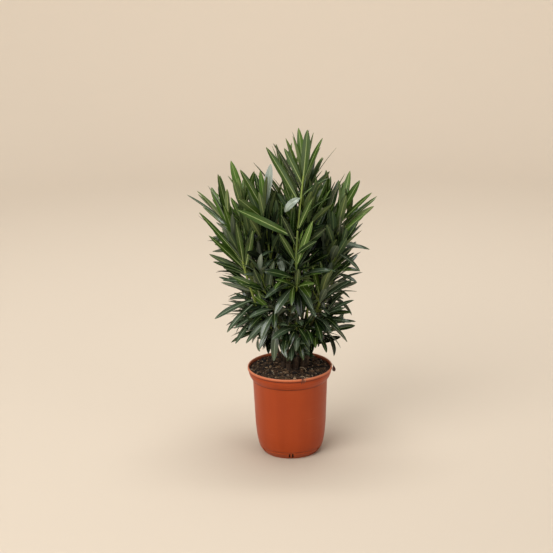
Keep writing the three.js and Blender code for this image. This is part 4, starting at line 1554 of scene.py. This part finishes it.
def make_dead_leaf():
    """A small dead leaf whose stalk lies over the rim at the right, so that it hangs beside the lip."""
    shape = Shape()
    add_thread(shape, [(97, -6, 219), (102, -7, 227), (108, -8, 226), (108, -8, 220)], 0.8, 6, 0, steps=14)
    chord = unit(np.array([0.1, 0.0, -1.0]))
    front = np.array([0.0, -1.0, 0.0])
    leaf = Leaf(
        root=np.array([108, -8, 222]),
        heading=chord,
        upper=front,
        across=np.cross(chord, front),
        length=20,
        width=9,
        bend=radians(35),
        fold=radians(25),
    )
    add_leaf(shape, leaf)
    # It has one brown all over, in place of a tone's four materials
    shape.numbers = [np.zeros_like(numbers) for numbers in shape.numbers]
    brown = material("dead_leaf", Base_Color=linear((72, 44, 40)), Roughness=0.7)
    shape.piece("dead_leaf", "foliage", [brown])


def make_limbs():
    bark = bark_material()
    for kind, curves, size in (("cane", canes, CANE), ("bough", boughs, BOUGH)):
        for i, (name, curve) in enumerate(curves.items()):
            shape = Shape()
            add_limb(shape, curve, size, size["seed"] + i)
            shape.piece(f"bark_{kind}_{name}", "bark", [bark], [f"{kind}_{name}"], sharp=180)


def grow_twig(mass, axis, fine, crown):
    """The leaves of a finer twig or shoot, small ones at its apex first."""
    bud_leaves(mass, axis, fine, crown)
    leaves_along(mass, axis, fine, fine, crown)


def make_foliage():
    """Grows every mass by the source's rule, then the finer twigs of all, and makes their meshes."""
    crown = Crown()
    axes = {}
    draws = {name: Draws(FIRST_SEED + index) for name, index in order_of.items()}
    for mass in MASSES:
        name = mass["name"]
        stem = Axis(stems[name], STEM_FOOT, STEM_TIP, 0)
        axes[name] = [stem, *side_twigs(mass, stem.curve, draws[name])]
    for name, rows in SINGLE_LEAVES.items():
        carriers = [*axes[name], shown_shoots[name]] if name in shown_shoots else axes[name]
        for row in rows:
            crown.take(single_leaf(*row, carriers), name)
    for index, mass in enumerate(MASSES):
        name = mass["name"]
        fine = Draws(FINE_SEEDS["rule"] + index)
        for number, axis in enumerate(axes[name]):
            leaves_along(mass, axis, draws[name], fine, crown, (name, number))
    for index, mass in enumerate(MASSES):
        name = mass["name"]
        fine = Draws(FINE_SEEDS["twigs"] + index)
        for number, axis in enumerate(axes[name]):
            bud_leaves(mass, axis, fine, crown, (name, number))
        finer = fine_twigs(mass, axes[name], fine)
        for axis in finer:
            grow_twig(mass, axis, fine, crown)
        axes[name] += finer
    for index, curve in enumerate([*canes.values(), *boughs.values()]):
        fine = Draws(FINE_SEEDS["limbs"] + index)
        for mass, axis in limb_shoots(curve, fine):
            grow_twig(mass, axis, fine, crown)
            axes[mass["name"]].append(axis)
    for name, shoot in shown_shoots.items():
        axes[name].append(shoot)
    leaf_looks, twig_looks = leaf_materials(), twig_materials()
    for mass in MASSES:
        name = mass["name"]
        twigs, leaves = Shape(), Shape()
        for axis in axes[name]:
            add_twig(twigs, axis, mass)
        for leaf in crown.leaves[name]:
            add_leaf(leaves, leaf)
        twigs.piece(f"twigs_{name}", "bark", twig_looks)
        leaves.piece(f"leaves_{name}", "foliage", leaf_looks, [f"foliage_{name}"])


# Stage, lights and camera, in metres

FLOOR_RADIUS = 3.4
SWEEP_RADIUS = 1.6
WALL_HEIGHT = 3.2
STAGE_SIDES = 96
BACKDROP = (200, 187, 170)

CAMERA_AWAY = 2.9
CAMERA_HEIGHT = 1.288
CAMERA_VIEW_ANGLE = 25.13
CAMERA_PITCH = 16.11
CAMERA_YAW = 0.58
CAMERA_ROLL = -1.0


def make_stage():
    """A round floor that sweeps up into a wall, beyond every camera."""
    outline_points = [(radius, 0) for radius in np.linspace(0.5, FLOOR_RADIUS, 8)]
    for turn in np.linspace(0, math.pi / 2, 12)[1:]:
        along, up = SWEEP_RADIUS * math.sin(turn), SWEEP_RADIUS * (1 - math.cos(turn))
        outline_points.append((FLOOR_RADIUS + along, up))
    outline_points.append((FLOOR_RADIUS + SWEEP_RADIUS, WALL_HEIGHT))
    rings = turned_rings(outline_points, STAGE_SIDES)
    middle = len(outline_points) * STAGE_SIDES
    faces = [(middle, (i + 1) % STAGE_SIDES, i) for i in range(STAGE_SIDES)]
    faces += ring_quads(len(outline_points), STAGE_SIDES).tolist()
    mesh = bpy.data.meshes.new("stage")
    mesh.from_pydata([*rings.reshape(-1, 3).tolist(), (0, 0, 0)], [], faces)
    mesh.polygons.foreach_set("use_smooth", np.ones(len(faces), bool))
    paper = material("stage_paper", Base_Color=linear(BACKDROP), Roughness=0.9, Specular_IOR_Level=0.2)
    mesh.materials.append(paper)
    linked("stage", mesh)


# Lights for the wall alone, with the angles round +Z that they face and their watts
WALL_LIGHTS = {"wall_behind": (90, 190), "wall_left": (210, 80), "wall_right": (330, 80)}


def add_light(name, place, aim, size, watts, colour=(1, 1, 1)):
    light = bpy.data.lights.new(name, "AREA")
    light.shape = "DISK"
    light.size = size
    light.energy = watts
    light.color = colour
    made = linked(name, light)
    made.location = place
    made.rotation_euler = (Vector(aim) - Vector(place)).to_track_quat("-Z", "Y").to_euler()


def make_lights():
    """A large key light from the upper left, a top light, a weak fill and lights for the wall alone."""
    add_light("key", (-1.9, -2.5, 2.9), (0, 0, 0.45), 3.2, 128, (1, 1, 0.99))
    add_light("top", (0.2, 0.4, 4.4), (0, 0, 0.5), 3, 50)
    add_light("fill", (2.6, -2.4, 2.2), (0, 0, 0.4), 2.6, 18)
    for name, (azimuth, watts) in WALL_LIGHTS.items():
        ahead = Vector((math.cos(radians(azimuth)), math.sin(radians(azimuth)), 0))
        place, aim = 0.8 * ahead + Vector((0, 0, 4.4)), 5 * ahead + Vector((0, 0, 2.6))
        add_light(name, place, aim, 2.6, watts)
    world = bpy.data.worlds.new("studio")
    world.use_nodes = True
    background = world.node_tree.nodes["Background"]
    background.inputs["Color"].default_value = (1, 1, 1, 1)
    background.inputs["Strength"].default_value = 0.22
    bpy.context.scene.world = world
    bpy.context.scene.view_settings.view_transform = "Standard"


def make_camera():
    lens = bpy.data.cameras.new("camera")
    lens.sensor_width = 36
    lens.lens = lens.sensor_width / (2 * math.tan(radians(CAMERA_VIEW_ANGLE) / 2))
    camera = linked("camera", lens)
    turn = (
        Matrix.Rotation(radians(CAMERA_YAW), 4, "Z")
        @ Matrix.Rotation(radians(90 - CAMERA_PITCH), 4, "X")
        @ Matrix.Rotation(radians(CAMERA_ROLL), 4, "Z")
    )
    camera.matrix_world = Matrix.Translation((0, -CAMERA_AWAY, CAMERA_HEIGHT)) @ turn
    bpy.context.scene.camera = camera


make_camera()
make_lights()
make_stage()
make_pot()
make_soil()
make_crumbs()
make_rootlets()
make_dead_leaf()
make_limbs()
make_foliage()
